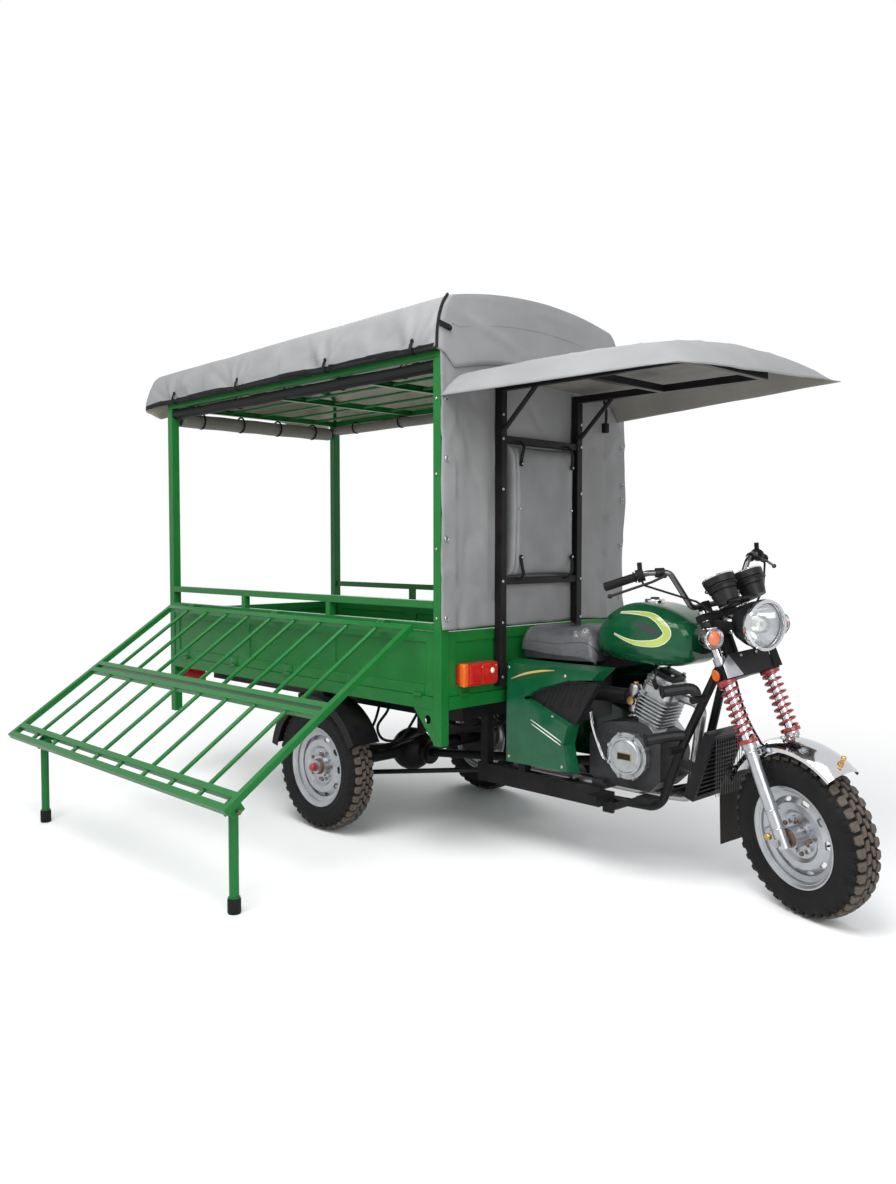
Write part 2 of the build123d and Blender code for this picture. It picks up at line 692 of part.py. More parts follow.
side_rails = []
for sign in (-1, 1):
    low_y, high_y = sorted((sign * bed_half, sign * (bed_half - rail_side)))
    rail = block(inner_rear, inner_front, low_y, high_y, lower_rail_top - rail_side, lower_rail_top)
    rail += block(inner_rear, inner_front, low_y, high_y, upper_rail_top - rail_side, upper_rail_top)
    for x in thirds:
        rail += block(x - 15, x + 15, low_y, high_y, lower_rail_top, upper_rail_top - rail_side)
    if sign < 0:
        for x in rack_hinges:
            rail += block(x - 4, x + 4, -rack_axis, -bed_half, rack_hinge_height - 10, rack_hinge_height + 10)
            rail += hinge_rod(x - 4, x + 4, rack_knuckle)
            rail += hinge_rod(x - 24, x + 24, rack_pin)
    side_rails.append(rail)
nodes["side_rails"] = Part() + side_rails

# Roof frame: eave frame on the posts, cross rails and thin slats, with three bows on it.
roof_parts = []
for sign in (-1, 1):
    low_y, high_y = sorted((sign * bed_half, sign * (bed_half - rail_side)))
    roof_parts.append(block(bed_rear, bed_front, low_y, high_y, eave_low, eave_top))
for x in (bed_rear + rail_side / 2, *thirds, bed_front - rail_side / 2):
    roof_parts.append(block(x - rail_side / 2, x + rail_side / 2, -bed_half, bed_half, eave_low, eave_top))
for i in range(-2, 3):
    y = i * bed_half / 3
    roof_parts.append(rod((bed_rear + 10, y, eave_low + 15), (bed_front - 10, y, eave_low + 15), 7))
bow_half = bed_half - 20
half_bow = [(-bow_half, eave_top + seat_gap), (-bow_half, shoulder - 40), (0, crown - 36)]
bows = []
for x in (bed_rear + 20, bed_middle, bed_front - 20):
    bow = [(x, y, z) for y, z in half_bow] + [(x, -y, z) for y, z in reversed(half_bow[:-1])]
    bows.append(tube(bow, bow_radius, 60))
nodes["roof_frame"] = fused(roof_parts)
nodes["roof_bows"] = Part() + bows


# Roof tarp: a thin shell with a crowned top, open beneath.
def crowned(x0, x1, half, low, edge, top):
    outline = Line((-half, low), (half, low)) + Line((half, low), (half, edge))
    outline += ThreePointArc((half, edge), (0, top), (-half, edge)) + Line((-half, edge), (-half, low))
    face = Plane(origin=(x0, 0, 0), x_dir=(0, 1, 0), z_dir=(1, 0, 0)) * make_face(outline)
    return extrude(face, amount=x1 - x0)


roof_front = bed_front + tarp_thickness
roof_rear = bed_rear - roof_tail
roof_half = bed_half + roof_overhang
tarp_in = roof_half - tarp_thickness
roof_outer = crowned(roof_rear, roof_front, roof_half, valance_bottom, shoulder, crown)
roof_inner = crowned(
    roof_rear + tarp_thickness, bed_front, tarp_in, valance_bottom - 50,
    shoulder - tarp_thickness, crown - tarp_thickness,
)
nodes["roof_tarp"] = roof_outer - roof_inner

# Front tarp wall, ladder, pad and awning.
tarp_top = valance_bottom - seat_gap
tarp_low = panel_top + 10
nodes["front_tarp"] = block(bed_front, roof_front, -bed_half - 2, bed_half + front_flap, tarp_low, tarp_top)
ladder_x0 = roof_front + seat_gap
ladder_x1 = ladder_x0 + ladder_side
ladder_bottom = deck_top + 18
ladder_bars = [eave_top - drop for drop in ladder_bar_drops]
awning_front = roof_front + awning_length
arm_front = roof_front + awning_arm
arm_cross = (roof_front + arm_front) / 2
ladder = []
for sign in (-1, 1):
    y = sign * ladder_half
    y0, y1 = y - ladder_side / 2, y + ladder_side / 2
    ladder.append(block(ladder_x0, ladder_x1, y0, y1, ladder_bottom, ladder_top))
    ladder.append(block(ladder_x0, arm_front, y - 15, y + 15, ladder_top - 30, ladder_top))
    ladder.append(rod((ladder_x1 - 10, y, ladder_top - 200), (ladder_x1 + 190, y, ladder_top - 12), 10))
    foot_z = ladder_bottom + 10
    ladder.append(block(bed_front - panel_inset, ladder_x0 + 4, y - 15, y + 15, foot_z, foot_z + 50))
for z in ladder_bars:
    ladder.append(block(ladder_x0, ladder_x1 - 6, -ladder_half, ladder_half, z - 15, z + 15))
for x in (arm_cross, arm_front - 15):
    ladder.append(block(x - 15, x + 15, -ladder_half, ladder_half, ladder_top - 30, ladder_top))
nodes["ladder_frame"] = fused(ladder)
pad_half = ladder_half - 40
pad = block(ladder_x0, ladder_x1 + 24, -pad_half, pad_half, ladder_bars[0] + 20, ladder_bars[1] - 20)
nodes["back_pad"] = fillet(pad.edges().filter_by(Axis.X), 20)


def awning_solid(shrink, drop):
    front, half = awning_front - shrink, bed_half + awning_overhang - shrink
    rear_low, rear_high = eave_top - awning_rear_drops[0] - drop, eave_top - awning_rear_drops[1] - shrink
    front_low, front_high = eave_top - awning_front_drops[0] - drop, eave_top - awning_front_drops[1] - shrink
    top = eave_top - awning_crown_drop - shrink
    middle = ((roof_front + awning_front) / 2 + 78, top)
    outline = Line((roof_front, rear_low), (front, front_low)) + Line((front, front_low), (front, front_high))
    outline += ThreePointArc((front, front_high), middle, (roof_front, top - 22))
    outline += Line((roof_front, top - 22), (roof_front, rear_low))
    arch = crowned(roof_front, front, half, rear_low - 200, rear_high, top)
    return extrude(upright(half) * make_face(outline), amount=2 * half) & arch


nodes["awning_tarp"] = awning_solid(0, 0) - awning_solid(tarp_thickness, 60)

# Rolled curtains beneath the eaves: right, left and rear.
roll_z = eave_low - roll_radius - seat_gap
roll_x, roll_y = bed_rear + rail_side / 2, bed_half - roll_radius
rolls = [rod((roll_x, 70 - bed_half, roll_z), (roll_x, bed_half - 70, roll_z), roll_radius)]
for y in (-roll_y, roll_y):
    rolls.append(rod((inner_rear, y, roll_z), (inner_front, y, roll_z), roll_radius))
nodes["curtain_rolls"] = Part() + rolls

# Lamps on the front wall and beneath the rear sill.
lamp_x = (bed_front - panel_inset, bed_front + 36)
lamp = block(*lamp_x, 95 - bed_half, 298 - bed_half, deck_top + 36, deck_top + 129)
nodes["marker_lamps"] = Part() + both_sides(fillet(lamp.edges().filter_by(Axis.X), 16))
tail = block(bed_rear + 4, bed_rear + 60, 55 - bed_half, 185 - bed_half, sill_bottom - 110, sill_bottom - 10)
tail = fillet(tail.edges().filter_by(Axis.X), 14)
tail_x = (bed_rear + 4, bed_rear + sill_width)
tail += block(*tail_x, 105 - bed_half, 135 - bed_half, sill_bottom - 20, sill_bottom)
nodes["tail_lamps"] = Part() + both_sides(tail)

# Rear mudguards hung from the sill, each with a lip outside the tyre.
guard_in = half_track - tyre_half_width - 5
guard_out = half_track + tyre_half_width + 11
guard_outer = guard_radius + guard_thickness
guard_plane = Plane(origin=(0, guard_out, tyre_radius), x_dir=(1, 0, 0), z_dir=(0, -1, 0))
wedge = Polygon((0, 0), (700, 330), (700, 900), (-700, 900), (-700, 150), align=None)
guard_band = (Circle(guard_outer) - Circle(guard_radius)) & wedge
guard = extrude(guard_plane * guard_band, amount=guard_out - guard_in)
hanger = block(-30, 30, bed_half - 45, bed_half - 5, tyre_radius + guard_radius + 1, sill_bottom)
guard += hanger - rod((0, guard_in, tyre_radius), (0, guard_out, tyre_radius), guard_radius)
guard_side = (Circle(guard_outer) - Circle(guard_radius - guard_lip)) & wedge
guard += extrude(guard_plane * guard_side, amount=4)
nodes["mudguards"] = Part() + both_sides(guard)

# Fork: clamps, stem, tubes, legs and springs.
leg_spread = tyre_half_width + leg_clearance
clamp_half = leg_spread + 24
clamp_sides = (-clamp_half, clamp_half)
low_clamp = fork_block(clamp_low, (-22, 32), clamp_sides) + fork_rod(clamp_low, -stem_offset, 0, 30)
low_clamp += fork_block(clamp_low, (-stem_offset, 0), (-30, 30))
high_clamp = fork_block(clamp_high, (-20, 24), clamp_sides) + fork_rod(clamp_high, -stem_offset, 0, 30)
high_clamp += fork_block(clamp_high, (-stem_offset, 0), (-62, 62))
stem = fork_rod((clamp_low[0], clamp_high[1]), -stem_offset, 0, stem_radius - running_gap)
coil_height = spring_length - 2 * spring_wire
coil = Helix(pitch=coil_height / spring_turns, height=coil_height, radius=spring_radius)
wire = sweep(Plane(origin=coil @ 0, z_dir=coil % 0) * RegularPolygon(spring_wire, 6), path=coil, is_frenet=True)
tubes = []
legs = []
springs = []
for sign in (-1, 1):
    y = sign * leg_spread
    tubes.append(fork_rod((leg_length - 40, clamp_high[1] + 12), 0, y, fork_tube_radius))
    leg = fork_rod((-26, leg_length - 20), 0, y, fork_leg_radius)
    leg += fork_rod((leg_length - 34, leg_length + seat_gap), 0, y, 27)
    leg -= rod((wheelbase, y - 60, front_height), (wheelbase, y + 60, front_height), axle_radius + running_gap)
    legs.append(leg - tubes[-1])
    coil_foot = fork_at(leg_length + 0.78 * spring_wire, 0, y)
    springs.append(Plane(origin=coil_foot, z_dir=(-sin_rake, 0, cos_rake)) * wire)
nodes["fork_tubes"] = steered(Part() + tubes)
nodes["fork_legs"] = steered(Part() + legs)
nodes["fork_springs"] = steered(Part() + springs)

# Handlebar in the high clamp's risers.
bar_x, _, bar_z = fork_at(clamp_high[1] + bar_rise, -stem_offset, 0)


def bar_at(ahead, side, above):
    return (bar_x + ahead, side, bar_z + above)


bar_bends = [(-134, 390, 115), (-42, 262, 153), (-6, 190, 147), (0, 105, 0)]
bar_line = [bar_at(ahead, -side, above) for ahead, side, above in bar_bends]
bar_line += [bar_at(*bend) for bend in reversed(bar_bends)]
bar = tube(bar_line, bar_radius, 34)
nodes["handlebar"] = steered(bar)

# Headlamp: a bowl held between two ears, closed by a domed lens.
lamp_face = bar_x + lamp_reach
lamp_height = bar_z - lamp_drop
lamp_plane = Plane(origin=(lamp_face, 0, lamp_height), x_dir=(1, 0, 0), z_dir=(0, -1, 0))
lamp_axis = Axis((lamp_face, 0, lamp_height), (1, 0, 0))
bowl_line = [(-130, 0), (-130, 0.46), (-105, 0.75), (-60, 0.93), (-18, 0.965), (-18, 0)]
bowl = revolve(lamp_plane * Polygon(*[(x, r * lamp_radius) for x, r in bowl_line], align=None), axis=lamp_axis)
hollow_line = [(-126, 0), (-126, 0.42), (-103, 0.7), (-60, 0.88), (-18, 0.915), (-18, 0)]
bowl_inside = revolve(
    lamp_plane * Polygon(*[(x, r * lamp_radius) for x, r in hollow_line], align=None), axis=lamp_axis
)
nodes["headlamp_shell"] = steered(bowl - bowl_inside)
lens_line = [(-18, 0), (-18, 1), (-2, 1), (0, 0.94), (4, 0.86), (11, 0.45), (14, 0)]
lens = revolve(lamp_plane * Polygon(*[(x, r * lamp_radius) for x, r in lens_line], align=None), axis=lamp_axis)
nodes["headlamp_lens"] = steered(lens)

ear_in, ear_out = lamp_radius + 3, lamp_radius + 9
clamps = fused([low_clamp, high_clamp, stem]) - tubes
for sign in (-1, 1):
    y = sign * leg_spread
    low_y, high_y = sorted((sign * ear_in, sign * ear_out))
    ear_back = fork_at(clamp_high[0] - 55, 0, y)[0]
    ear = block(ear_back, lamp_face - 72, low_y, high_y, lamp_height - 22, lamp_height + 22)
    ear += rod((lamp_face - 86, sign * 65, lamp_height), (lamp_face - 86, sign * ear_out, lamp_height), 9)
    ear += fork_rod((clamp_high[0] - 50, clamp_high[0] - 3), 0, y, fork_tube_radius + 6)
    clamps += ear - tubes - bowl
    riser = sorted((sign * 34, sign * 62))
    clamps += fork_block((clamp_high[0], clamp_high[1] + 55), (-stem_offset - 22, -stem_offset + 22), riser)
clamps -= bar
nodes["steering_clamps"] = steered(clamps)

# Grips with switch pods and mirror bosses, levers with ball ends, and cables to the headlamp.
grips = []
levers = []
cables = []
for sign in (-1, 1):
    outer, inner, knee = [Vector(*bar_at(ahead, sign * side, above)) for ahead, side, above in bar_bends[:3]]
    along = (outer - inner).normalized()
    forward = Vector(0.624, sign * 0.227, -0.747)
    pod_mid = inner + along * 28
    pod = rod(inner + along * 14, inner + along * 43, pod_radius) + rod(pod_mid, pod_mid + Vector(0, 0, 48), 9)
    grips.append(rod(inner + along * 44, outer + along * 4, grip_radius) - bar)
    grips.append(pod - bar)
    perch = knee + (inner - knee) * 0.45
    pivot = Vector(*bar_at(16, sign * 230, 140))
    blade = [pivot, Vector(*bar_at(0, sign * 278, 124)), Vector(*bar_at(-94, sign * 402, 84))]
    lever = rod(knee + (inner - knee) * 0.25, knee + (inner - knee) * 0.65, bar_radius + 7)
    lever += rod(perch, pivot, 8) + Pos(*pivot) * Sphere(8)
    lever += tube(blade, lever_radius, 12) + Pos(*blade[-1]) * Sphere(9)
    levers.append(lever - bar)
    start = pod_mid + forward * (pod_radius + seat_gap)
    end = (lamp_face - 130 - seat_gap, sign * 24, lamp_height + 12)
    run = [start, start + forward * 20, bar_at(95, sign * 160, 40), bar_at(110, sign * 112, 0)]
    run += [bar_at(112, sign * 72, -14), end]
    cables.append(tube(run, cable_radius, 12) - bowl)
nodes["grips"] = steered(Part() + grips)
nodes["levers"] = steered(Part() + levers)

# Gauges: two grooved cups with sunk dials, on a bracket above the headlamp.
cup = [
    # inside the rim's radius, above the base
    (gauge_radius, 0), (20, 0), (12, 36), (16, 38), (16, 42), (9, 44), (6, 60), (10, 62), (10, 66), (3, 68),
    (0, 84), (0, 95), (7, 95), (7, 87), (gauge_radius, 87),
]
gauge = Rot(90, 0, 0) * revolve(Polygon(*[(gauge_radius - r, h) for r, h in cup], align=None), axis=Axis.Y)
gauges = fork_block((clamp_high[1], clamp_high[1] + 6), (-20, 150), (-30, 30))
for sign in (-1, 1):
    base = (lamp_face - 116, sign * (gauge_radius + 6), lamp_height + 87)
    gauges += Plane(origin=base, z_dir=(-0.45, 0, 0.9)) * gauge
    gauges += rod(fork_at(clamp_high[1] + 3, 130, 0), (base[0], base[1], base[2] + 4), 12)
gauges = gauges - bowl - clamps
nodes["gauges"] = steered(gauges)
nodes["cables"] = steered(Part() + cables)

# Indicators, reflectors and blank plate.
signals = []
reflectors = []
plate_mid = (clamp_low[0] + clamp_low[1]) / 2
for sign in (-1, 1):
    y = sign * (ear_out + 63)
    body = rod((lamp_face - 140, y, lamp_height - 30), (lamp_face - 78, y, lamp_height - 30), 38)
    stalk_z = lamp_height - 20
    stalk = rod((lamp_face - 124, sign * (ear_out + seat_gap), stalk_z), (lamp_face - 124, y, stalk_z), 9)
    signals.append(fillet(body.edges(), 12) + stalk)
    mark_in, mark_out = sign * (clamp_half + seat_gap), sign * (clamp_half + 9)
    reflectors.append(rod(fork_at(plate_mid, -8, mark_in), fork_at(plate_mid, -8, mark_out), 21))
nodes["turn_signals"] = steered(Part() + signals)
nodes["reflectors"] = steered(Part() + reflectors)
plate_along = (clamp_low[0] + 2, clamp_low[1] + 34)
nodes["blank_plate"] = steered(fork_block(plate_along, (32 + seat_gap, 40), (-95, 95)))

# Front axle with spacers and nuts.
leg_in, leg_out = leg_spread - fork_leg_radius, leg_spread + fork_leg_radius
spindle = rod((wheelbase, -leg_out - 13, front_height), (wheelbase, leg_out + 13, front_height), axle_radius)
for sign in (-1, 1):
    for near, far in ((front_hub_half + 2, leg_in - seat_gap), (leg_out + seat_gap, leg_out + 11)):
        spindle += rod((wheelbase, sign * near, front_height), (wheelbase, sign * far, front_height), 14)
nodes["front_axle"] = steered(spindle)

# Front fender, arched across the tyre, with stays; the flap hangs behind it.
fender_half = tyre_half_width + 3
first = math.radians(fender_angles[0])
fender_plane = Plane(origin=front_centre, x_dir=(0, 1, 0), z_dir=(math.sin(first), 0, -math.cos(first)))
skin_half = fender_half - fender_thickness
edge, lip = fender_radius - fender_crown, fender_radius - fender_crown - 14
outline = ThreePointArc((-fender_half, edge), (0, fender_radius + fender_thickness), (fender_half, edge))
outline += Polyline((fender_half, edge), (fender_half, lip), (skin_half, lip), (skin_half, edge))
outline += ThreePointArc((skin_half, edge), (0, fender_radius), (-skin_half, edge))
outline += Polyline((-skin_half, edge), (-skin_half, lip), (-fender_half, lip), (-fender_half, edge))
fender_axis = Axis(front_centre, (0, -1, 0))
fender = revolve(
    fender_plane * make_face(outline), axis=fender_axis, revolution_arc=fender_angles[1] - fender_angles[0]
)
stay_along = tyre_radius + 6
for sign in (-1, 1):
    stay_y = sign * (fender_half + 2)
    fender += rod(fork_at(stay_along, 0, stay_y), fork_at(stay_along, 0, sign * (leg_in - seat_gap)), 9)
    fender += beam(fork_at(stay_along, 0, stay_y), fork_at(edge + 4, 0, stay_y), 4.4, 20)
nodes["front_fender"] = steered(fender)
flap_angle = math.radians(fender_angles[1]) - 0.09
flap_radius = fender_radius + fender_thickness + seat_gap
flap_line = [
    (wheelbase + flap_radius * math.cos(flap_angle), front_height + flap_radius * math.sin(flap_angle)),
    (wheelbase - fender_radius, 400),
    (wheelbase - fender_radius - 21, flap_bottom),
]
flap_face = flap_line + [(x - 4, z + 1) for x, z in reversed(flap_line)]
nodes["mud_flap"] = steered(side_plate(flap_face, 2 - fender_half, fender_half - 2) - fender)


# Side rack, made flat and then tipped about its hinge.
def rack_beam(x0, x1, s0, s1, half):
    return block(x0, x1, -rack_axis - s1, -rack_axis - s0, rack_hinge_height - half, rack_hinge_height + half)


half_thick = rack_thickness / 2
rack_start = 18
rack_end = rack_length - rack_beam_width
rack_middle = rack_length / 2
rack_parts = [
    rack_beam(rack_rear, rack_rear + rack_beam_width, rack_start, rack_length, half_thick),
    rack_beam(rack_front - rack_beam_width, rack_front, rack_start, rack_length, half_thick),
]
for s0 in (rack_start, rack_middle - 34, rack_middle + 14, rack_end - 60, rack_end):
    rack_parts.append(rack_beam(rack_rear, rack_front, s0, s0 + rack_beam_width, half_thick))
for count, s0, s1 in ((9, rack_start + 12, rack_middle - 22), (8, rack_middle + 28, rack_end + 14)):
    for i in range(count):
        x = rack_rear + 14 + (rack_front - rack_rear - 28) * (i + 1) / (count + 1)
        ends = [(x, -rack_axis - s, rack_hinge_height) for s in (s0, s1)]
        rack_parts.append(rod(*ends, rack_bar_radius))
rack_bores = []
for x in rack_hinges:
    for sign in (-1, 1):
        low_x, high_x = sorted((x + sign * 7, x + sign * 21))
        rack_parts.append(hinge_rod(low_x, high_x, rack_knuckle))
        rack_parts.append(rack_beam(low_x, high_x, 0, rack_start + 2, 10))
    rack_bores.append(hinge_rod(x - 60, x + 60, rack_pin + running_gap))
leg_places = (rack_rear + leg_inset_rear, rack_front - leg_inset_front)
leg_reach = rack_length - leg_pivot_inset
pivot_y = -rack_axis - leg_reach
pivot_z = rack_hinge_height - leg_pivot_drop
lugs = []
for x in leg_places:
    for sign in (-1, 1):
        low_x, high_x = sorted((x + sign * 25, x + sign * 31))
        lug_top = rack_hinge_height - half_thick + 1
        lugs.append(block(low_x, high_x, pivot_y - 28, pivot_y + 28, pivot_z - 12, lug_top))
    lugs.append(rod((x - 31, pivot_y, pivot_z), (x + 31, pivot_y, pivot_z), rack_pin))
rack = fused([fused(rack_parts) - rack_bores] + lugs)
hinge_line = Axis((0, -rack_axis, rack_hinge_height), (1, 0, 0))
nodes["rack_frame"] = rack.rotate(hinge_line, rack_slope)

# Legs hang plumb from the rack.
slope = math.radians(rack_slope)
leg_top_y = -rack_axis - leg_reach * math.cos(slope) + leg_pivot_drop * math.sin(slope)
leg_top_z = rack_hinge_height - leg_reach * math.sin(slope) - leg_pivot_drop * math.cos(slope)
for name, x in zip(("rear_leg", "front_leg"), leg_places):
    foot_top = foot_lift + foot_height
    leg = rod((x, leg_top_y, foot_top), (x, leg_top_y, leg_top_z - 8), leg_radius)
    leg += rod((x - 19, leg_top_y, leg_top_z), (x + 19, leg_top_y, leg_top_z), leg_radius - 1)
    leg -= rod((x - 40, leg_top_y, leg_top_z), (x + 40, leg_top_y, leg_top_z), rack_pin + running_gap)
    nodes[name] = leg + rod((x, leg_top_y, foot_lift), (x, leg_top_y, foot_top), leg_radius + 4)

# One shared frame: the origin is the middle of the whole footprint, on the ground.
boxes = [shape.bounding_box() for shape in nodes.values()]
shift_x = -(min(box.min.X for box in boxes) + max(box.max.X for box in boxes)) / 2
shift_y = -(min(box.min.Y for box in boxes) + max(box.max.Y for box in boxes)) / 2

os.makedirs("parts", exist_ok=True)
for name, shape in nodes.items():
    export_step(Pos(shift_x, shift_y, 0) * shape, "parts/" + name + ".step")
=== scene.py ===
import json
import math

import bmesh
import bpy
from mathutils import Matrix, Vector, noise
from mathutils.bvhtree import BVHTree


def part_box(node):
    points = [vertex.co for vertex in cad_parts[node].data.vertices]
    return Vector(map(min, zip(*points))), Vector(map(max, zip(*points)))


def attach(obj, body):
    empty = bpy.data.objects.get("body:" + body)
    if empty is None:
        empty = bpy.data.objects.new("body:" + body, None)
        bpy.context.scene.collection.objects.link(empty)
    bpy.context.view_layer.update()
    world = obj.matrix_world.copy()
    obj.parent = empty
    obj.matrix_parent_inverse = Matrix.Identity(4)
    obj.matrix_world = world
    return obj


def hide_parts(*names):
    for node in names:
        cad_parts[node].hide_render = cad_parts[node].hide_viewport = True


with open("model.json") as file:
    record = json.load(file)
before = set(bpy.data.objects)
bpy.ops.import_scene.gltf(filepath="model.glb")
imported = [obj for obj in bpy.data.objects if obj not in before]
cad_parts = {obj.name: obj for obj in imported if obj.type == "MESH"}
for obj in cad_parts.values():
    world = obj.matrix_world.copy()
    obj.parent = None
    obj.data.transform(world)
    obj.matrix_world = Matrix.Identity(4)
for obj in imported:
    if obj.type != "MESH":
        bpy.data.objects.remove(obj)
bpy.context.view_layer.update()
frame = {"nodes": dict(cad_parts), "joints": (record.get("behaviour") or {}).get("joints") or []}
nodes = frame["nodes"]
joints = {joint["name"]: joint for joint in frame["joints"]}
scene = bpy.context.scene
scene.view_settings.view_transform = "Standard"
print("frame loaded")


# Layout, metres: X forward from the rear axle, Y to the left, Z up, as in the part.
def jointAt(name):
    return Vector(joints[name]["pos_m"])


rearRight, rearLeft = jointAt("rear_right_spin"), jointAt("rear_left_spin")
origin = Matrix.Translation(((rearRight.x + rearLeft.x) / 2, (rearRight.y + rearLeft.y) / 2, 0))
toVehicle = origin.inverted()
steerAxis = Vector(joints["steering"]["axis"])
wheelAxis = Vector(joints["front_wheel_spin"]["axis"])
restTurn = -math.acos(wheelAxis.y)
stem = Matrix.Translation(jointAt("steering"))
steered = stem @ Matrix.Rotation(restTurn, 4, steerAxis) @ stem.inverted() @ origin
axleHome = steered.inverted() @ jointAt("front_wheel_spin")
forkAhead = Vector((steerAxis.z, 0, -steerAxis.x))
forward, leftward, upward = Vector((1, 0, 0)), Vector((0, 1, 0)), Vector((0, 0, 1))


# A place on the fork as it stands straight, measured from the front axle.
def forkSpot(along, ahead, side):
    return axleHome + steerAxis * along + forkAhead * ahead + leftward * side


def boxOf(node):
    low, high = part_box(node)
    return toVehicle @ low, toVehicle @ high


def between(low, high, share):
    return low + (high - low) * share


# Mesh helpers. A piece's groups give each finish its parts, in the order of the slots.
def addPiece(name, groups, body="chassis", place=origin, crease=35):
    whole = bmesh.new()
    mesh = bpy.data.meshes.new(name)
    for slot, (finish, parts) in enumerate(groups.items()):
        mesh.materials.append(finish)
        for part in parts:
            for face in part.faces:
                face.material_index = slot or face.material_index
            part.to_mesh(mesh)
            part.free()
            whole.from_mesh(mesh)
    whole.transform(place)
    whole.to_mesh(mesh)
    whole.free()
    mesh.shade_smooth()
    mesh.set_sharp_from_angle(angle=math.radians(crease))
    piece = bpy.data.objects.new(name, mesh)
    scene.collection.objects.link(piece)
    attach(piece, body)
    return piece


def tidied(part):
    bmesh.ops.remove_doubles(part, verts=part.verts, dist=1e-5)
    bmesh.ops.recalc_face_normals(part, faces=part.faces)
    return part


def facing(direction):
    return upward.rotation_difference(Vector(direction)).to_matrix().to_4x4()


def placed(part, spot, direction=upward):
    part.transform(Matrix.Translation(spot) @ facing(direction))
    return part


def softened(part, edges, width, segments):
    bmesh.ops.bevel(
        part, geom=edges, offset=width, segments=segments, profile=0.5, affect="EDGES", material=-1,
    )
    return part


# profile: radius and height of each corner
def lathe(profile, steps):
    part = bmesh.new()
    verts = [part.verts.new((radius, 0, height)) for radius, height in profile]
    edges = [part.edges.new(pair) for pair in zip(verts, verts[1:])]
    bmesh.ops.spin(part, geom=verts + edges, axis=upward, angle=math.tau, steps=steps, use_merge=True)
    return tidied(part)


def chunk(size, bevel, segments=2):
    part = bmesh.new()
    bmesh.ops.create_cube(part, size=1, matrix=Matrix.Diagonal((*size, 1)))
    return softened(part, part.edges[:], bevel, segments)


def bolt(spot, direction, radius, height):
    part = bmesh.new()
    bmesh.ops.create_cone(
        part, cap_ends=True, segments=6, radius1=radius, radius2=radius, depth=height,
        matrix=Matrix.Translation((0, 0, height / 2)),
    )
    return placed(softened(part, part.edges[:], radius * 0.12, 1), spot, direction)


def bead(spot, radius, squash=1.0, direction=upward):
    part = bmesh.new()
    bmesh.ops.create_uvsphere(part, u_segments=16, v_segments=10, radius=radius)
    part.transform(Matrix.Diagonal((1, 1, squash, 1)))
    return placed(part, spot, direction)


def tube(points, radius, smooth=True, rounding=3):
    curve = bpy.data.curves.new("tube", "CURVE")
    curve.dimensions = "3D"
    curve.bevel_depth = radius
    curve.bevel_resolution = rounding
    curve.use_fill_caps = True
    spline = curve.splines.new("NURBS" if smooth else "POLY")
    spline.points.add(len(points) - 1)
    for knot, point in zip(spline.points, points):
        knot.co = (*point, 1)
    spline.use_endpoint_u = True
    spline.order_u = 3
    spline.resolution_u = 8
    holder = bpy.data.objects.new("tube", curve)
    mesh = bpy.data.meshes.new_from_object(holder)
    part = bmesh.new()
    part.from_mesh(mesh)
    bpy.data.meshes.remove(mesh)
    bpy.data.objects.remove(holder)
    bpy.data.curves.remove(curve)
    return tidied(part)


def rod(start, end, radius):
    return tube([start, end], radius, False, 6)


def hoop(radius, wire, steps=32, sides=8):
    loop = [math.tau * index / sides for index in range(sides + 1)]
    return lathe([(radius + wire * math.cos(angle), wire * math.sin(angle)) for angle in loop], steps)


def strap(points, side, thickness):
    part = bmesh.new()
    half = Vector(side) / 2
    rows = [[part.verts.new(Vector(point) + way) for way in (-half, half)] for point in points]
    for near, far in zip(rows, rows[1:]):
        part.faces.new((near[0], near[1], far[1], far[0]))
    bmesh.ops.recalc_face_normals(part, faces=part.faces)
    bmesh.ops.solidify(part, geom=part.faces[:], thickness=thickness)
    return part


def smoothRun(points, steps):
    points = [Vector(point) for point in points]
    knots = [points[0]] + points + [points[-1]]
    run = []
    for before, start, end, after in zip(knots, knots[1:], knots[2:], knots[3:]):
        for index in range(steps):
            t = index / steps
            bend = (end - before) * t + (2 * before - 5 * start + 4 * end - after) * t * t
            run.append(start + 0.5 * (bend + (3 * start - before - 3 * end + after) * t ** 3))
    return run + [points[-1]]


def grid(columns, rows, shape):
    part = bmesh.new()
    bmesh.ops.create_grid(part, x_segments=columns, y_segments=rows, size=0.5)
    for vert in part.verts:
        vert.co = shape(vert.co.x + 0.5, vert.co.y + 0.5)
    return part


def closedBehind(part, back):
    rim = [edge for edge in part.edges if edge.is_boundary]
    made = bmesh.ops.extrude_edge_only(part, edges=rim)["geom"]
    for vert in made:
        if isinstance(vert, bmesh.types.BMVert):
            vert.co = back(vert.co)
    bmesh.ops.holes_fill(part, edges=[edge for edge in part.edges if edge.is_boundary])
    return tidied(part)


def ripple(point, scale, seed):
    return noise.noise(Vector(point) * scale + Vector((seed, seed * 1.7, seed * 0.3)))


def ridge(point, scale, seed, power):
    return (1 - abs(ripple(point, scale, seed))) ** power


def areaOf(part):
    return sum(face.calc_area() for face in part.faces)


def thicken(piece, thickness, offset=-1):
    wall = piece.modifiers.new("wall", "SOLIDIFY")
    wall.thickness = thickness
    wall.offset = offset


def addCloth(name, groups, node):
    piece = addPiece(name, groups, crease=60)
    thicken(piece, 0.003)
    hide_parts(node)
    return piece


# Finishes.
def addNode(tree, kind, values=None):
    made = tree.nodes.new("ShaderNode" + kind)
    for socket, value in (values or {}).items():
        made.inputs[socket].default_value = value
    return made


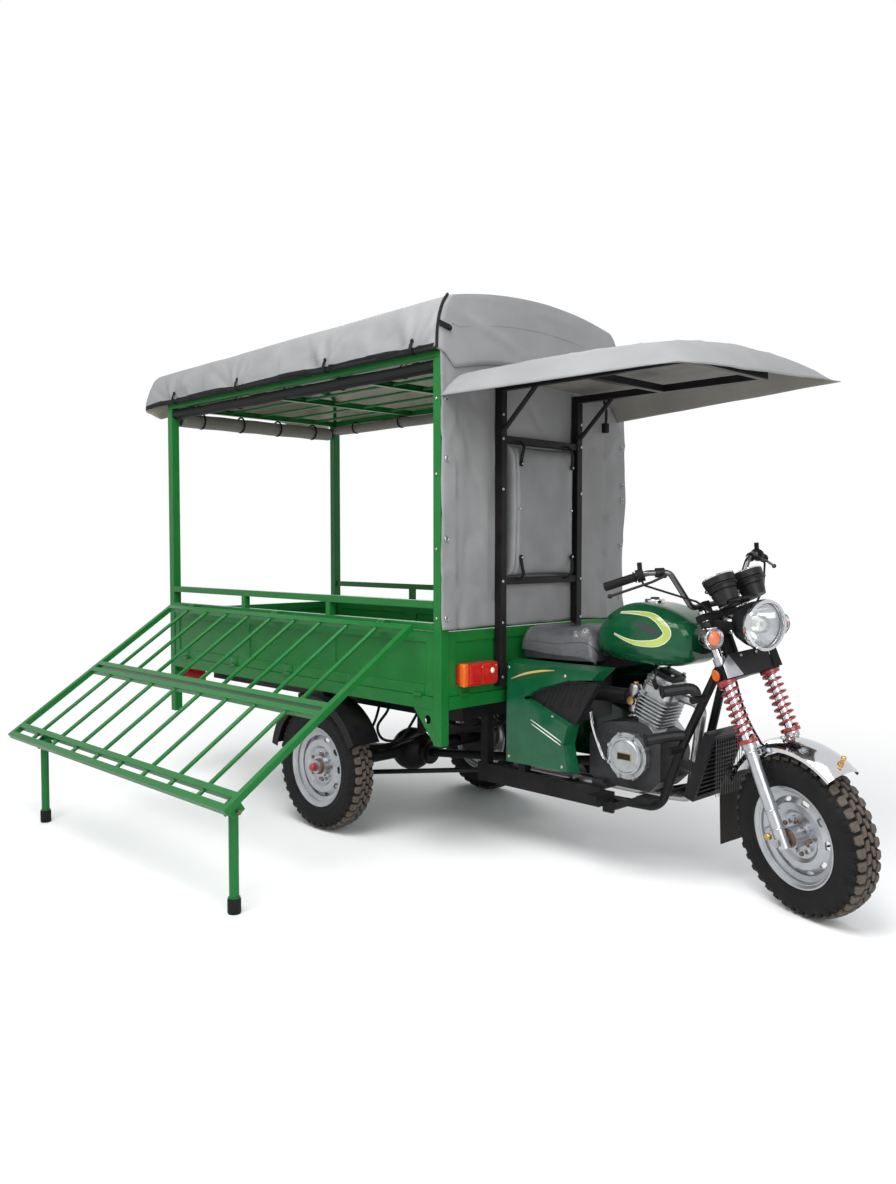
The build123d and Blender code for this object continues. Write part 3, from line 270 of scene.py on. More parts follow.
def makeFinish(
    name, colour, rough=0.5, metal=0.0, coat=0.0, shade=0.12, scale=30.0,
    dust=None, dustShare=0.0, bump=0.0, bumpScale=400.0, alpha=1.0, gloss=0.5,
):
    finish = bpy.data.materials.new(name)
    finish.use_nodes = True
    tree = finish.node_tree
    link = tree.links.new
    shader = tree.nodes["Principled BSDF"]
    coords = addNode(tree, "TexCoord")

    def speckle(size, detail):
        made = addNode(tree, "TexNoise", {"Scale": size, "Detail": detail})
        link(coords.outputs["Object"], made.inputs["Vector"])
        return made.outputs["Fac"]

    patches = speckle(scale, 6)
    ramp = addNode(tree, "ValToRGB")
    for stop, spot, tone in zip(ramp.color_ramp.elements, (0.3, 0.7), (1 - shade, 1 + shade)):
        stop.position = spot
        stop.color = (*[min(1, part * tone) for part in colour], 1)
    link(patches, ramp.inputs["Fac"])
    base = ramp.outputs["Color"]
    if dust:
        mask = addNode(tree, "MapRange", {"From Min": 0.42, "From Max": 0.72, "To Max": dustShare})
        link(speckle(scale * 0.35, 8), mask.inputs["Value"])
        blend = addNode(tree, "Mix")
        blend.data_type = "RGBA"
        blend.inputs["B"].default_value = (*dust, 1)
        link(mask.outputs["Result"], blend.inputs["Factor"])
        link(base, blend.inputs["A"])
        base = blend.outputs["Result"]
    link(base, shader.inputs["Base Color"])
    sheen = addNode(tree, "MapRange", {"To Min": rough * 0.85, "To Max": min(1, rough * 1.15)})
    link(patches, sheen.inputs["Value"])
    link(sheen.outputs["Result"], shader.inputs["Roughness"])
    if bump:
        relief = addNode(tree, "Bump", {"Strength": bump, "Distance": 0.001})
        link(speckle(bumpScale, 3), relief.inputs["Height"])
        link(relief.outputs["Normal"], shader.inputs["Normal"])
    shader.inputs["Specular IOR Level"].default_value = gloss
    shader.inputs["Metallic"].default_value = metal
    shader.inputs["Coat Weight"].default_value = coat
    shader.inputs["Coat Roughness"].default_value = 0.06
    shader.inputs["Alpha"].default_value = alpha
    return finish


rusty = (0.16, 0.06, 0.02)
weave = dict(bump=0.25, bumpScale=900, gloss=0.3)
casting = dict(scale=40, bump=0.3, bumpScale=500)
lensSkin = dict(rough=0.15, shade=0.12, scale=60, coat=0.6)
decalSkin = dict(rough=0.3, coat=0.6)
green = makeFinish(
    "bed green", (0.006, 0.118, 0.020), 0.36, coat=0.06, gloss=0.2, shade=0.08, scale=9, bump=0.05,
    bumpScale=160,
)
bottle = makeFinish("bottle green", (0.004, 0.068, 0.026), 0.16, coat=0.20, shade=0.15, scale=14, gloss=0.22)
black = makeFinish(
    "black paint", (0.006, 0.006, 0.007), 0.42, shade=0.2, dust=(0.16, 0.12, 0.08), dustShare=0.04,
    gloss=0.14,
)
plastic = makeFinish(
    "black plastic", (0.009, 0.009, 0.010), 0.42, shade=0.15, bump=0.12, bumpScale=900, gloss=0.2,
)
rubber = makeFinish("rubber", (0.008, 0.008, 0.008), 0.65, shade=0.25, bump=0.2, bumpScale=500, gloss=0.14)
flapRubber = makeFinish(
    "flap rubber", (0.014, 0.012, 0.009), 0.6, shade=0.3, scale=12, bump=0.2, bumpScale=200, gloss=0.3,
)
tyreRubber = makeFinish(
    "tyre rubber", (0.008, 0.008, 0.0085), 0.66, shade=0.25, scale=22, dust=(0.04, 0.035, 0.028),
    dustShare=0.12, bump=0.25, bumpScale=350, gloss=0.12,
)
treadRubber = makeFinish(
    "tread rubber", (0.078, 0.064, 0.053), 0.82, shade=0.3, scale=50, dust=(0.085, 0.072, 0.056),
    dustShare=0.5, bump=0.4, bumpScale=300, gloss=0.3,
)
chrome = makeFinish("chrome", (0.58, 0.59, 0.61), 0.09, metal=1, shade=0.02)
darkChrome = makeFinish("dark chrome", (0.10, 0.10, 0.105), 0.2, metal=0.9, shade=0.05)
alloy = makeFinish("cast alloy", (0.38, 0.39, 0.40), 0.34, metal=0.9, shade=0.15, **casting)
caseMetal = makeFinish("dark case", (0.035, 0.035, 0.037), 0.4, metal=0.6, shade=0.2, **casting)
silver = makeFinish("silver paint", (0.37, 0.38, 0.40), 0.32, metal=0.8, shade=0.06, coat=0.3)
steel = makeFinish(
    "bright steel", (0.40, 0.40, 0.41), 0.32, metal=0.9, shade=0.15, dust=rusty, dustShare=0.25,
)
rust = makeFinish(
    "rusty steel", (0.15, 0.105, 0.075), 0.5, metal=0.7, shade=0.4, scale=120, dust=rusty, dustShare=0.5,
)
brass = makeFinish("brass", (0.45, 0.28, 0.10), 0.35, metal=0.9)
red = makeFinish("red paint", (0.21, 0.010, 0.015), 0.3, coat=0.4, shade=0.1)
tarp = makeFinish("grey tarp", (0.225, 0.228, 0.232), 0.6, shade=0.08, scale=5, **weave)
# The wall tarp is a darker copy of the grey tarp: painted shade on the front wall.
shadedWallTarp = makeFinish("wall tarp with painted shade", (0.205, 0.206, 0.208), 0.55, scale=4, **weave)
# Tarp undersides, beige cloth. The first is made darker as painted shade under the awning and also colours
# the stitches and the left and rear curtains; the second is made much lighter as painted light on the roof's
# shaded underside.
shadedLining = makeFinish("tarp underside with painted shade", (0.190, 0.180, 0.160), 0.6, scale=5, **weave)
litRoofLining = makeFinish("roof underside with painted light", (0.46, 0.43, 0.37), 0.7, scale=5, gloss=0.2)
hem = makeFinish("black hem", (0.010, 0.010, 0.011), 0.6, bump=0.3, bumpScale=900, gloss=0.14)
pad = makeFinish("grey pad", (0.150, 0.152, 0.155), 0.42, shade=0.14, scale=8, bump=0.2, bumpScale=500)
vinyl = makeFinish("seat vinyl", (0.022, 0.023, 0.026), 0.40, shade=0.2, bump=0.25, bumpScale=420)
film = makeFinish("clear film", (0.34, 0.35, 0.37), 0.14, shade=0.05, alpha=0.17, gloss=1.0, coat=0.4)
clearLens = makeFinish("clear lens", (0.55, 0.57, 0.58), 0.04, shade=0.01, alpha=0.07, coat=1)
glass = makeFinish("lamp glass", (0.90, 0.92, 0.94), 0.03, shade=0.01, alpha=0.12, coat=1)
amber = makeFinish("amber lens", (0.62, 0.11, 0.006), **lensSkin)
redLens = makeFinish("red lens", (0.42, 0.008, 0.008), **lensSkin)
lime = makeFinish("lime decal", (0.36, 0.43, 0.07), shade=0.25, scale=6, **decalSkin)
white = makeFinish("white decal", (0.66, 0.70, 0.60), shade=0.03, **decalSkin)
gold = makeFinish("gold decal", (0.46, 0.36, 0.11), shade=0.05, **decalSkin)
dark = makeFinish("dark decal", (0.006, 0.014, 0.011), shade=0.1, **decalSkin)

nodeFinishes = {
    green: "bed_posts bed_right_panel bed_front_panel left_panel tailgate bed_floor side_rails roof_frame "
           "roof_bows rack_frame rear_leg front_leg",
    bottle: "fuel_tank side_covers",
    black: "rear_axle leaf_springs bed_chassis main_frame drive_shaft ladder_frame mudguards foot_controls "
           "radiator",
    plastic: "cover_inserts headlamp_shell gauges blank_plate intake steering_clamps levers",
    rubber: "grips cables front_tyre rear_right_tyre rear_left_tyre",
    flapRubber: "mud_flap",
    chrome: "tank_cap fork_tubes front_fender",
    darkChrome: "handlebar",
    silver: "front_rim rear_right_rim rear_left_rim fork_legs",
    alloy: "engine engine_cover",
    steel: "exhaust front_axle",
    red: "fork_springs",
    redLens: "marker_lamps tail_lamps",
    amber: "reflectors",
    glass: "headlamp_lens",
    clearLens: "turn_signals",
    tarp: "roof_tarp front_tarp awning_tarp curtain_rolls",
    pad: "back_pad",
    vinyl: "seat",
}
for finish, names in nodeFinishes.items():
    for name in names.split():
        nodes[name].data.materials.clear()
        nodes[name].data.materials.append(finish)

# The crankcase below the barrel is darker than the barrel and head.
barrel = dict(foot=Vector((1.428, 0, 0.600)), lean=math.radians(20), caseTop=0.012)
barrelUp = Vector((math.sin(barrel["lean"]), 0, math.cos(barrel["lean"])))
barrelAhead = Vector((math.cos(barrel["lean"]), 0, -math.sin(barrel["lean"])))
engine = nodes["engine"]
engine.data.materials.append(caseMetal)
for facet in engine.data.polygons:
    middle = toVehicle @ engine.matrix_world @ facet.center
    facet.material_index = 0 if (middle - barrel["foot"]).dot(barrelUp) > barrel["caseTop"] else 1

# Softened edges: their width, and the steel and plastic nodes that have them.
softEdges = {
    0.0025: "bed_posts side_rails roof_frame rack_frame ladder_frame bed_floor main_frame bed_chassis",
    0.0020: "bed_right_panel bed_front_panel left_panel tailgate radiator blank_plate steering_clamps "
            "foot_controls",
    0.0050: "side_covers cover_inserts",
}
for width, names in softEdges.items():
    for name in names.split():
        weld = nodes[name].modifiers.new("weld", "WELD")
        weld.merge_threshold = 1e-5
        soften = nodes[name].modifiers.new("edges", "BEVEL")
        soften.width = width
        soften.segments = 2
        soften.limit_method = "ANGLE"
        soften.angle_limit = math.radians(40)
print("finishes set")

# Tyres: spun carcass with four rows of interlocking blocks and claws down the shoulders.
tyre = dict(radius=0.294, floor=0.2815, crown=3.0, pitches=40, root=0.274, edge=0.0022)
claw = dict(size=(0.021, 0.012, 0.034), edge=0.003, side=0.0570, height=0.262, tilt=0.30)
# radius and side of the carcass, from the bead to the tread
sidewall = [
    (0.168, 0.049), (0.176, 0.054), (0.186, 0.055), (0.206, 0.0615), (0.209, 0.0635), (0.214, 0.0625),
    (0.236, 0.066), (0.252, 0.0655), (0.264, 0.060), (0.272, 0.051), (tyre["floor"], 0.030),
]
# along the tread and across it, mm
innerBlock = [(-19, 1), (-7, 1), (1, 5), (16, 5), (19, 20), (7, 20), (-2, 16), (-16, 16)]
shoulderBlock = [(-18, 20), (-8, 25), (2, 22), (14, 24), (17, 42), (9, 51), (-9, 51), (-17, 42)]


def treadBlock(outline, sign):
    part = bmesh.new()
    tops, roots = [], []
    for along, across in outline:
        angle, side = along / 1000 / tyre["radius"], across / 1000
        top = tyre["radius"] - tyre["crown"] * side * side
        for ring, radius in ((tops, top), (roots, tyre["root"])):
            ring.append(part.verts.new((radius * math.sin(angle), sign * side, radius * math.cos(angle))))
    lid = part.faces.new(tops)
    corners = list(zip(tops, roots))
    for (top, root), (nextTop, nextRoot) in zip(corners, corners[1:] + corners[:1]):
        part.faces.new((top, root, nextRoot, nextTop))
    softened(part, list(lid.edges), tyre["edge"], 1)
    bmesh.ops.recalc_face_normals(part, faces=part.faces)
    return part


def tyreGroups():
    crown = [(tyre["floor"] + 0.001, 0)]
    carcass = lathe(sidewall + crown + [(radius, -side) for radius, side in reversed(sidewall)], 120)
    carcass.transform(facing(leftward))
    smooth, blocks = [carcass], []
    for sign in (-1, 1):
        lay = Matrix.Translation((0, sign * claw["side"], claw["height"]))
        lay @= Matrix.Rotation(sign * claw["tilt"], 4, "X")
        for index in range(tyre["pitches"]):
            start = index + (0.5 if sign > 0 else 0)
            turn, halfOn = (
                Matrix.Rotation(math.tau / tyre["pitches"] * pitch, 4, "Y") for pitch in (start, start + 0.5)
            )
            inner, shoulder = treadBlock(innerBlock, sign), treadBlock(shoulderBlock, sign)
            lug = chunk(claw["size"], claw["edge"], 1)
            inner.transform(turn)
            shoulder.transform(halfOn)
            lug.transform(halfOn @ lay)
            blocks += [inner, shoulder]
            smooth.append(lug)
    return {tyreRubber: smooth, treadRubber: blocks}


# Wheel fittings: rusty nuts, hub collars, red caps and a valve.
hub = dict(studs=5, studRadius=0.062, studTop=0.032, plateRadius=0.046, plateTop=0.0235, plateTurn=0.6)
driveCollar = [(0.0302, 0.040), (0.035, 0.041), (0.036, 0.046), (0.0345, 0.052), (0.0302, 0.053)]
driveCap = [(0.0205, 0.062), (0.0205, 0.066), (0.0175, 0.067), (0.0175, 0.082), (0.013, 0.087), (0, 0.088)]
frontCollar = [(0.0165, 0.0715), (0.031, 0.0715), (0.031, 0.0765), (0.026, 0.0795), (0.0165, 0.0795)]
valveRun = [(0.150, 0.012, 0.01), (0.150, 0.034, 0.01), (0.146, 0.044, 0.01)]


def hubGroups(sign, driven):
    outward, centre = (0, sign, 0), (0, 0, 0)

    def onRing(radius, side, angle):
        return radius * math.cos(angle), sign * side, -radius * math.sin(angle)

    metal, caps = [], []
    for index in range(hub["studs"]):
        angle = math.tau * index / hub["studs"]
        metal.append(bolt(onRing(hub["studRadius"], hub["studTop"], angle), outward, 0.0095, 0.009))
        spot = onRing(hub["plateRadius"], hub["plateTop"], angle + hub["plateTurn"])
        metal.append(bead(spot, 0.006, 0.5, outward) if driven else bolt(spot, outward, 0.006, 0.004))
    if driven:
        metal.append(placed(lathe(driveCollar, 32), centre, outward))
        caps.append(placed(lathe(driveCap, 28), centre, outward))
    else:
        metal += [placed(lathe(frontCollar, 32), centre, (0, way, 0)) for way in (-1, 1)]
    valve = tube([(x, sign * y, z) for x, y, z in valveRun], 0.0035)
    return {rust: metal, red: caps, rubber: [valve]}


frontPlace = Matrix.Translation(jointAt("front_wheel_spin")) @ steered.to_3x3().to_4x4()
wheels = [
    ("front", frontPlace, -1),
    ("rear_right", Matrix.Translation(rearRight), -1),
    ("rear_left", Matrix.Translation(rearLeft), 1),
]
for name, place, sign in wheels:
    rolling = addPiece(name + "_tyre_blocks", tyreGroups(), name + "_wheel", place)
    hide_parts(name + "_tyre")
    addPiece(name + "_hub_fittings", hubGroups(sign, name != "front"), name + "_wheel", place)
print("wheels made")

# Roof tarp: one sheet over three bows, crisp at the front corners, with a hemmed skirt all round.
roof = dict(
    hem=2.090, rearHem=2.040, frontHem=2.020, rearShoulder=2.270, frontShoulder=2.312, rearCrown=2.338,
    frontCrown=2.374, insetX=0.006, insetY=0.074, top=0.80, corner=0.045, flare=2.2, fall=1.35,
    firstBow=0.19, bowGap=1.07, sag=0.016, straps=(-1.231, -0.609, 0.106, 0.680),
)
roofFold = dict(
    rise=0.003, fold=0.014, crease=0.019, fan=0.019, fanReach=0.24, pucker=0.006, puckerReach=0.10,
    skirt=0.26, tail=Vector((-0.024, 0.014, -0.022)), tailReach=0.12,
)
roofLow, roofHigh = boxOf("roof_tarp")
roofMid, roofHalf = (roofLow + roofHigh) / 2, (roofHigh - roofLow) / 2


# u runs along the roof and v across it. Also gives the share of the skirt, and whether it is a side.
def roofSpot(u, v):
    a, b = 2 * u - 1, 2 * v - 1
    reach = max(abs(a), abs(b), 1e-6)
    down = max(0, (reach - roof["top"]) / (1 - roof["top"]))
    share = min(1, reach / roof["top"])
    inset = (1 - down) ** roof["flare"]
    halfX, halfY = roofHalf.x - roof["insetX"] * inset, roofHalf.y - roof["insetY"] * inset
    x, y = a / reach * share * halfX, b / reach * share * halfY
    corner = roof["corner"] * (0.4 + 0.6 * down)
    overX, overY = abs(x) - halfX + corner, abs(y) - halfY + corner
    if overX > 0 and overY > 0:
        pull = max(overX, overY) / math.hypot(overX, overY)
        x = math.copysign(halfX - corner + overX * pull, x)
        y = math.copysign(halfY - corner + overY * pull, y)
    ahead = (x + halfX) / (2 * halfX)
    shoulder = between(roof["rearShoulder"], roof["frontShoulder"], ahead)
    crown = between(roof["rearCrown"], roof["frontCrown"], ahead)
    x += roofMid.x
    arch = (crown - shoulder) * max(0, 1 - (y / (roofHigh.y - roof["insetY"])) ** 2)
    onSide = abs(b) >= abs(a)
    hemHeight = roof["hem"] if onSide else roof["frontHem"] if a > 0 else roof["rearHem"]
    hemHeight = between(roof["hem"], hemHeight, min(1, abs(abs(a) - abs(b)) / 0.16) ** 2)
    z = shoulder + arch - (shoulder - hemHeight) * down ** roof["fall"]
    bay = math.sin(math.pi * (x - roofLow.x - roof["firstBow"]) / roof["bowGap"]) ** 2
    z -= roof["sag"] * bay * (1 - (y / halfY) ** 4) * (1 - down)
    return Vector((x, y, z)), down, onSide


def roofCloth(u, v):
    spot, down, onSide = roofSpot(u, v)
    x, y = spot.xy
    slant = x + 1.4 * spot.z
    folds = ripple((slant, y * 0.5, 0), 2.6, 1) + 0.5 * ripple((slant, x * 0.3 + y, 0), 6, 4)
    creases = ridge((slant * 1.2, y * 0.4 + spot.z, 0), 3.4, 21, 7)
    spot.z += roofFold["rise"] * folds * (1 - 0.8 * down)
    outward = (roofFold["fold"] * folds + roofFold["crease"] * creases) * down * (1.15 - 0.6 * down)
    if onSide:
        tie = min(roof["straps"], key=lambda at: abs(x - at))
        pull, rise = abs(x - tie), roofFold["skirt"] * (1 - down)
        puckers = math.exp(-(pull / roofFold["puckerReach"]) ** 2) * down
        fan = math.cos(6 * math.atan2(x - tie, rise + 0.03) + 2 + 0.4 * math.sin(9 * tie))
        fan *= math.exp(-math.hypot(pull, rise) / roofFold["fanReach"])
        fan *= min(1, 0.3 + 4 * (1 - down)) * min(1, 4 * down)
        outward += roofFold["fan"] * max(fan, -0.3)
        spot.y += math.copysign(outward + roofFold["pucker"] * puckers * math.cos(pull * 130), y)
        spot.z += 0.005 * down ** 3 * min(1, pull / 0.22) - roofFold["pucker"] / 2 * puckers
    else:
        spot.x += math.copysign(abs(outward) * 0.7 + 0.004, x)
    fromCorner = math.hypot(x - roofLow.x, roofHigh.y - abs(y)) / roofFold["tailReach"]
    tail = roofFold["tail"] * math.exp(-fromCorner ** 2) * down * down
    return spot + Vector((tail.x, math.copysign(tail.y, y), tail.z))


def hemmed(part):
    rim = {vert for edge in part.edges if edge.is_boundary for vert in edge.verts}
    for face in part.faces:
        onFront = face.calc_center_median().x > roofHigh.x - 0.02
        if sum(vert in rim for vert in face.verts) >= 2 and not onFront:
            face.material_index = 1
    return part


part = hemmed(tidied(grid(180, 130, roofCloth)))
area = areaOf(part)
skirt = 2 * (roof["frontShoulder"] - roof["hem"] + 0.02)
flat = (roofHigh.x - roofLow.x + skirt, roofHigh.y - roofLow.y + skirt)
# The roof's inner side takes the lighter lining: painted light.
canopy = addCloth("roof_canvas", {tarp: [part], hem: [], litRoofLining: []}, "roof_tarp")
canopy.modifiers[0].material_offset = 2

stitch = dict(count=60, u=0.955, first=0.10, run=0.80, length=0.007, lift=0.005, radius=0.0012)
stitches = []
for index in range(stitch["count"]):
    v = stitch["first"] + stitch["run"] * index / stitch["count"]
    start, end = (
        roofSpot(stitch["u"], at)[0] + forward * stitch["lift"] for at in (v, v + stitch["length"])
    )
    stitches.append(rod(start, end, stitch["radius"]))
addPiece("front_stitches", {shadedLining: stitches})

# Front wall: one hung sheet with soft vertical creases and eyelets down both edges.
wall = dict(wave=0.011, crease=0.007, ladderGap=0.03, outer=0.50, edge=0.595, tuckTop=2.06, tuck=0.22)
eyelets = {-0.563: (1.02, 1.34, 1.66, 1.90), 0.615: (1.06, 1.31, 1.53, 1.60, 1.78, 1.93)}
wallLow, wallHigh = boxOf("front_tarp")
wallSize = wallHigh - wallLow
ladderLow, ladderHigh = boxOf("ladder_frame")


def wallCloth(u, v):
    y, z = wallLow.y + u * wallSize.y, wallLow.z + v * wallSize.z
    wave = ripple((y * 2.2, z * 0.55, 0), 4, 2) + 0.5 * ripple((y, z * 0.7, 0), 12, 6)
    wave += 0.35 * math.sin(9 * (y + 0.4 * z)) * ripple((y, z, 0), 3, 8)
    creases = ridge((y * 1.5 + z * 0.5, z * 0.8 - y * 0.4, 0), 5, 17, 6)
    bulge = wall["wave"] * wave - wall["crease"] * creases
    if ladderLow.y - wall["ladderGap"] < y < ladderHigh.y + wall["ladderGap"]:
        bulge = min(bulge, 0) - 0.0005
    elif abs(y) > wall["outer"]:
        bulge = abs(bulge)
    edge = max(0, (y - wall["edge"]) / 0.045)
    tucked = min(1, max(0, (wall["tuckTop"] - z) / wall["tuck"]))
    bulge = (bulge + 0.005 * edge * math.sin(z * 9)) * tucked - 0.002 * (1 - tucked)
    return Vector((wallHigh.x + bulge, y, z + 0.006 * ripple((y, 0, 0), 5, 3) * (1 - v)))


# The sheet takes the darker wall tarp: painted shade.
frontWall = addCloth("front_canvas", {shadedWallTarp: [tidied(grid(90, 90, wallCloth))]}, "front_tarp")
rings = []
for y, heights in eyelets.items():
    for z in heights:
        spot = wallCloth((y - wallLow.y) / wallSize.y, (z - wallLow.z) / wallSize.z)
        rings.append(placed(hoop(0.009, 0.0025, 20), spot + forward * 0.003, forward))
addPiece("eyelets", {steel: rings})

# Awning: a domed sheet whose skirt is deep at the wall and shallow at the front.
awning = dict(
    top=2.010, bulge=0.012, droop=0.010, crest=0.070, crestAt=0.3, crestHalf=1.05, frontDrop=0.008,
    wallEdge=(1.908, 1.904), frontEdge=(1.902, 1.972), nose=0.86, brow=0.80,
)
awningLow, awningHigh = boxOf("awning_tarp")


def awningCloth(u, v):
    across = 2 * v - 1
    x, y = between(awningLow.x, awningHigh.x, u), across * awningHigh.y
    right, left = (between(*ends, u) for ends in zip(awning["wallEdge"], awning["frontEdge"]))
    brow = max(0, (abs(across) - awning["brow"]) / (1 - awning["brow"]))
    nose = max(0, (u - awning["nose"]) / (1 - awning["nose"]))
    fall = min(1, math.hypot(brow ** 1.5, nose ** 1.5))
    crest = awning["crest"] * (1 - ((across - awning["crestAt"]) / awning["crestHalf"]) ** 2)
    dome = awning["top"] + awning["bulge"] * 4 * u * (1 - u) - awning["droop"] * across * across
    dome += u * u * (crest - awning["frontDrop"])
    z = between(dome, between(right, left, v), fall)
    wave = ripple((x, y, 0), 4, 12) + 0.5 * ripple((x * 0.6 + y, y * 1.5, 0), 9, 5)
    creases = ridge((x * 0.8 - y * 0.5, y + x, 0), 5, 33, 7)
    z += 0.0035 * wave * (1 - 0.5 * fall) + 0.003 * creases * (1 - fall)
    return Vector((x + 0.006 * wave * nose, y + math.copysign(0.006 * wave * brow, across), z))


part = tidied(grid(110, 110, awningCloth))
area = areaOf(part)
flat = (awningHigh.x - awningLow.x + 0.10, awningHigh.y - awningLow.y + 0.22)
# The awning's underside takes the darker lining: painted shade.
sunshade = addCloth("awning_canvas", {tarp: [part], shadedLining: []}, "awning_tarp")
sunshade.modifiers[0].material_offset = 1

# Rolled curtains: wound sheets under the eaves, tied with hoops.
roll = dict(turns=2.6, layer=0.0050, swell=0.03, sag=0.002, inset=0.030, rearDrop=0.022)


def rollPart(start, end, seed, outer):
    run = end - start
    side = Vector((-run.y, run.x, 0)).normalized()

    def wind(u, v):
        angle = math.tau * roll["turns"] * v
        swell = 1 + roll["swell"] * ripple((u * 9, math.cos(angle), math.sin(angle)), 1.3, seed)
        radius = outer - roll["layer"] * roll["turns"] * (1 - v)
        sag = -roll["sag"] * math.sin(math.pi * u * 4) ** 2
        offset = side * math.cos(angle) * radius * swell
        offset += Vector((0, 0, math.sin(angle) * radius * swell + sag))
        return start + run * u + offset

    return tidied(grid(60, 70, wind))


rollLow, rollHigh = boxOf("curtain_rolls")
rollY, rollZ = rollHigh.y - roll["inset"], rollLow.z + roll["inset"]
sideEnds = (rollLow.x + 0.06, rollHigh.x)
rearX, rearY, rearZ = rollLow.x + roll["inset"], rollHigh.y - 0.07, rollZ - roll["rearDrop"]
rearEnds = [(rearX, y, rearZ) for y in (-rearY, rearY)]
# name, ends, finish, outer radius, wire and count of the ties, and the way they sit inwards
curtains = [
    ("right_curtain", [(x, -rollY, rollZ) for x in sideEnds], hem, 0.0275, 0.0022, 5, (0, 0.006, 0.004)),
    ("left_curtain", [(x, rollY, rollZ) for x in sideEnds], shadedLining, 0.030, 0.004, 5, (0, -0.006, 0.004)),
    ("rear_curtain", rearEnds, shadedLining, 0.040, 0.005, 4, (0.006, 0, 0.004)),
]
ties = []
for seed, (name, ends, finish, outer, wire, count, inward) in enumerate(curtains):
    start, end = (Vector(place) for place in ends)
    run = end - start
    part = rollPart(start, end, seed, outer)
    flat = (run.length, areaOf(part) / run.length)
    wound = addPiece(name, {finish: [part]}, crease=60)
    thicken(wound, 0.002, 0)
    if seed == 0:
        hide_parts("curtain_rolls")
    for index in range(count):
        spot = start + run * (index + 0.5) / count + Vector(inward)
        ties.append(placed(hoop(outer + 0.003, wire, 24), spot, run))

# Canopy ties: strap loops along the hem, a corded hem and corner, and a buttoned tab at the front.
strapLoop = [(0.010, 2.138), (-0.010, 2.132), (-0.018, 2.108), (-0.014, 2.084), (0.012, 2.0815)]  # y, z
eave = roofLow.y
for x in roof["straps"]:
    loop = [(x, eave + y, z) for y, z in strapLoop]
    ties.append(strap(smoothRun(loop, 4), (0.014, 0, 0), 0.003))
    ties.append(bead((x, eave - 0.006, 2.138), 0.009, 0.6, -leftward))
hemLine = [roofSpot(index / 60, 0)[0] + upward * 0.003 for index in range(61)]
corner = [roofSpot(1 - away, away)[0] for away in (0.105 * (1 - index / 8) for index in range(9))]
tab = [(roofHigh.x + 0.010, eave + 0.010 + 0.020 * index, 2.190 - 0.004 * index) for index in range(4)]
ties += [
    tube(hemLine, 0.010),
    tube([spot + Vector((0.004, -0.004, 0.004)) for spot in corner], 0.006),
    strap(tab, (0, 0, 0.024), 0.003),
    bead((roofHigh.x + 0.012, eave + 0.064, 2.178), 0.010, 0.6, forward),
]
addPiece("canopy_ties", {rubber: ties})
print("canopy made")

# Back pad: a crowned cushion tied to the ladder with four rubber straps.
cushion = dict(edge=0.012, slack=0.016, pinch=0.010, hollow=0.006, fold=0.006, dent=0.004, seam=0.86)
padLow, padHigh = boxOf("back_pad")
padMid, padHalf = (padLow + padHigh) / 2, (padHigh - padLow) / 2


def padSpot(u, v):
    a, b = 2 * u - 1, 2 * v - 1
    crown = (1 - abs(a) ** 7) ** 0.5 * (1 - abs(b) ** 9) ** 0.5
    depth = cushion["edge"] + (padHigh.x - padLow.x - cushion["slack"]) * crown
    y = a * (padHalf.y - cushion["pinch"] * (1 - b * b) * abs(a) ** 3)
    z = padMid.z + b * (padHalf.z - cushion["hollow"] * (1 - a * a))
    folds = math.sin(y * 62 + 2 * ripple((y, z, 0), 4, 3)) * max(0, b - 0.25) * (1 - b * b)
    depth += (cushion["fold"] * folds + cushion["dent"] * ripple((y, z, 0), 6, 8)) * crown
    for seam in (-cushion["seam"], cushion["seam"]):
        depth -= 0.006 * math.exp(-((a - seam) / 0.018) ** 2)
    return Vector((padLow.x + depth, y, z))


part = closedBehind(grid(90, 100, padSpot), lambda spot: Vector((padLow.x, spot.y, spot.z)))
backCushion = addPiece("back_cushion", {pad: [part]}, crease=60)
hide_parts("back_pad")

padStrap = dict(side=0.158, end=0.170, width=0.014, thickness=0.006, length=0.10)
ladder = dict(side=0.262, face=0.0455, heights=(0.76, 0.99, 1.164, 1.55, 1.76, 1.86, 1.965))
hook = [(0.86, 0.42, 1.99), (0.868, 0.43, 1.95), (0.866, 0.435, 1.90), (0.860, 0.432, 1.85)]
straps, rivets = [], []
face = padHigh.x
for sign in (-1, 1):
    y, tip = sign * padStrap["side"], sign * padStrap["end"]
    for bar, way in ((padHigh.z + 0.02, -1), (padLow.z - 0.02, 1)):
        end = bar + way * padStrap["length"]
        line = [
            (face - 0.045, y, bar), (face - 0.018, y, bar + way * 0.004),
            (face + 0.006, y + sign * 0.004, bar + way * 0.03), (face + 0.004, tip, bar + way * 0.07),
            (face - 0.002, tip, end),
        ]
        straps.append(strap(smoothRun(line, 5), (0, padStrap["width"], 0), padStrap["thickness"]))
        straps.append(bead((face - 0.001, tip, end), 0.012, 0.6, forward))
        rivets.append(bead((face + 0.005, tip, end), 0.005, 0.6, forward))
    rivets.append(bead((face - 0.004, sign * 0.172, 1.47), 0.006, 0.6, forward))
    for z in ladder["heights"]:
        spot = (ladderLow.x + ladder["face"], sign * ladder["side"], z)
        rivets.append(bolt(spot, forward, 0.0065, 0.004))
straps.append(strap(smoothRun(hook, 5), (0, 0.016, 0), 0.004))
straps.append(placed(chunk((0.026, 0.030, 0.045), 0.005), (0.862, 0.432, 1.86)))
addPiece("pad_straps", {rubber: straps})
addPiece("ladder_bolts", {steel: rivets})

# Seat: a crowned vinyl cushion with piping, under a loose clear film.
seat = dict(start=0.880, base=0.842, round=0.55, ripple=0.0025, piping=(0.10, 0.90))
wrap = dict(
    margin=0.03, reach=0.94, lift=0.0035, crumple=0.004, rise=0.007, flare=0.006, drop=0.034, width=0.46,
    spread=0.44,
)
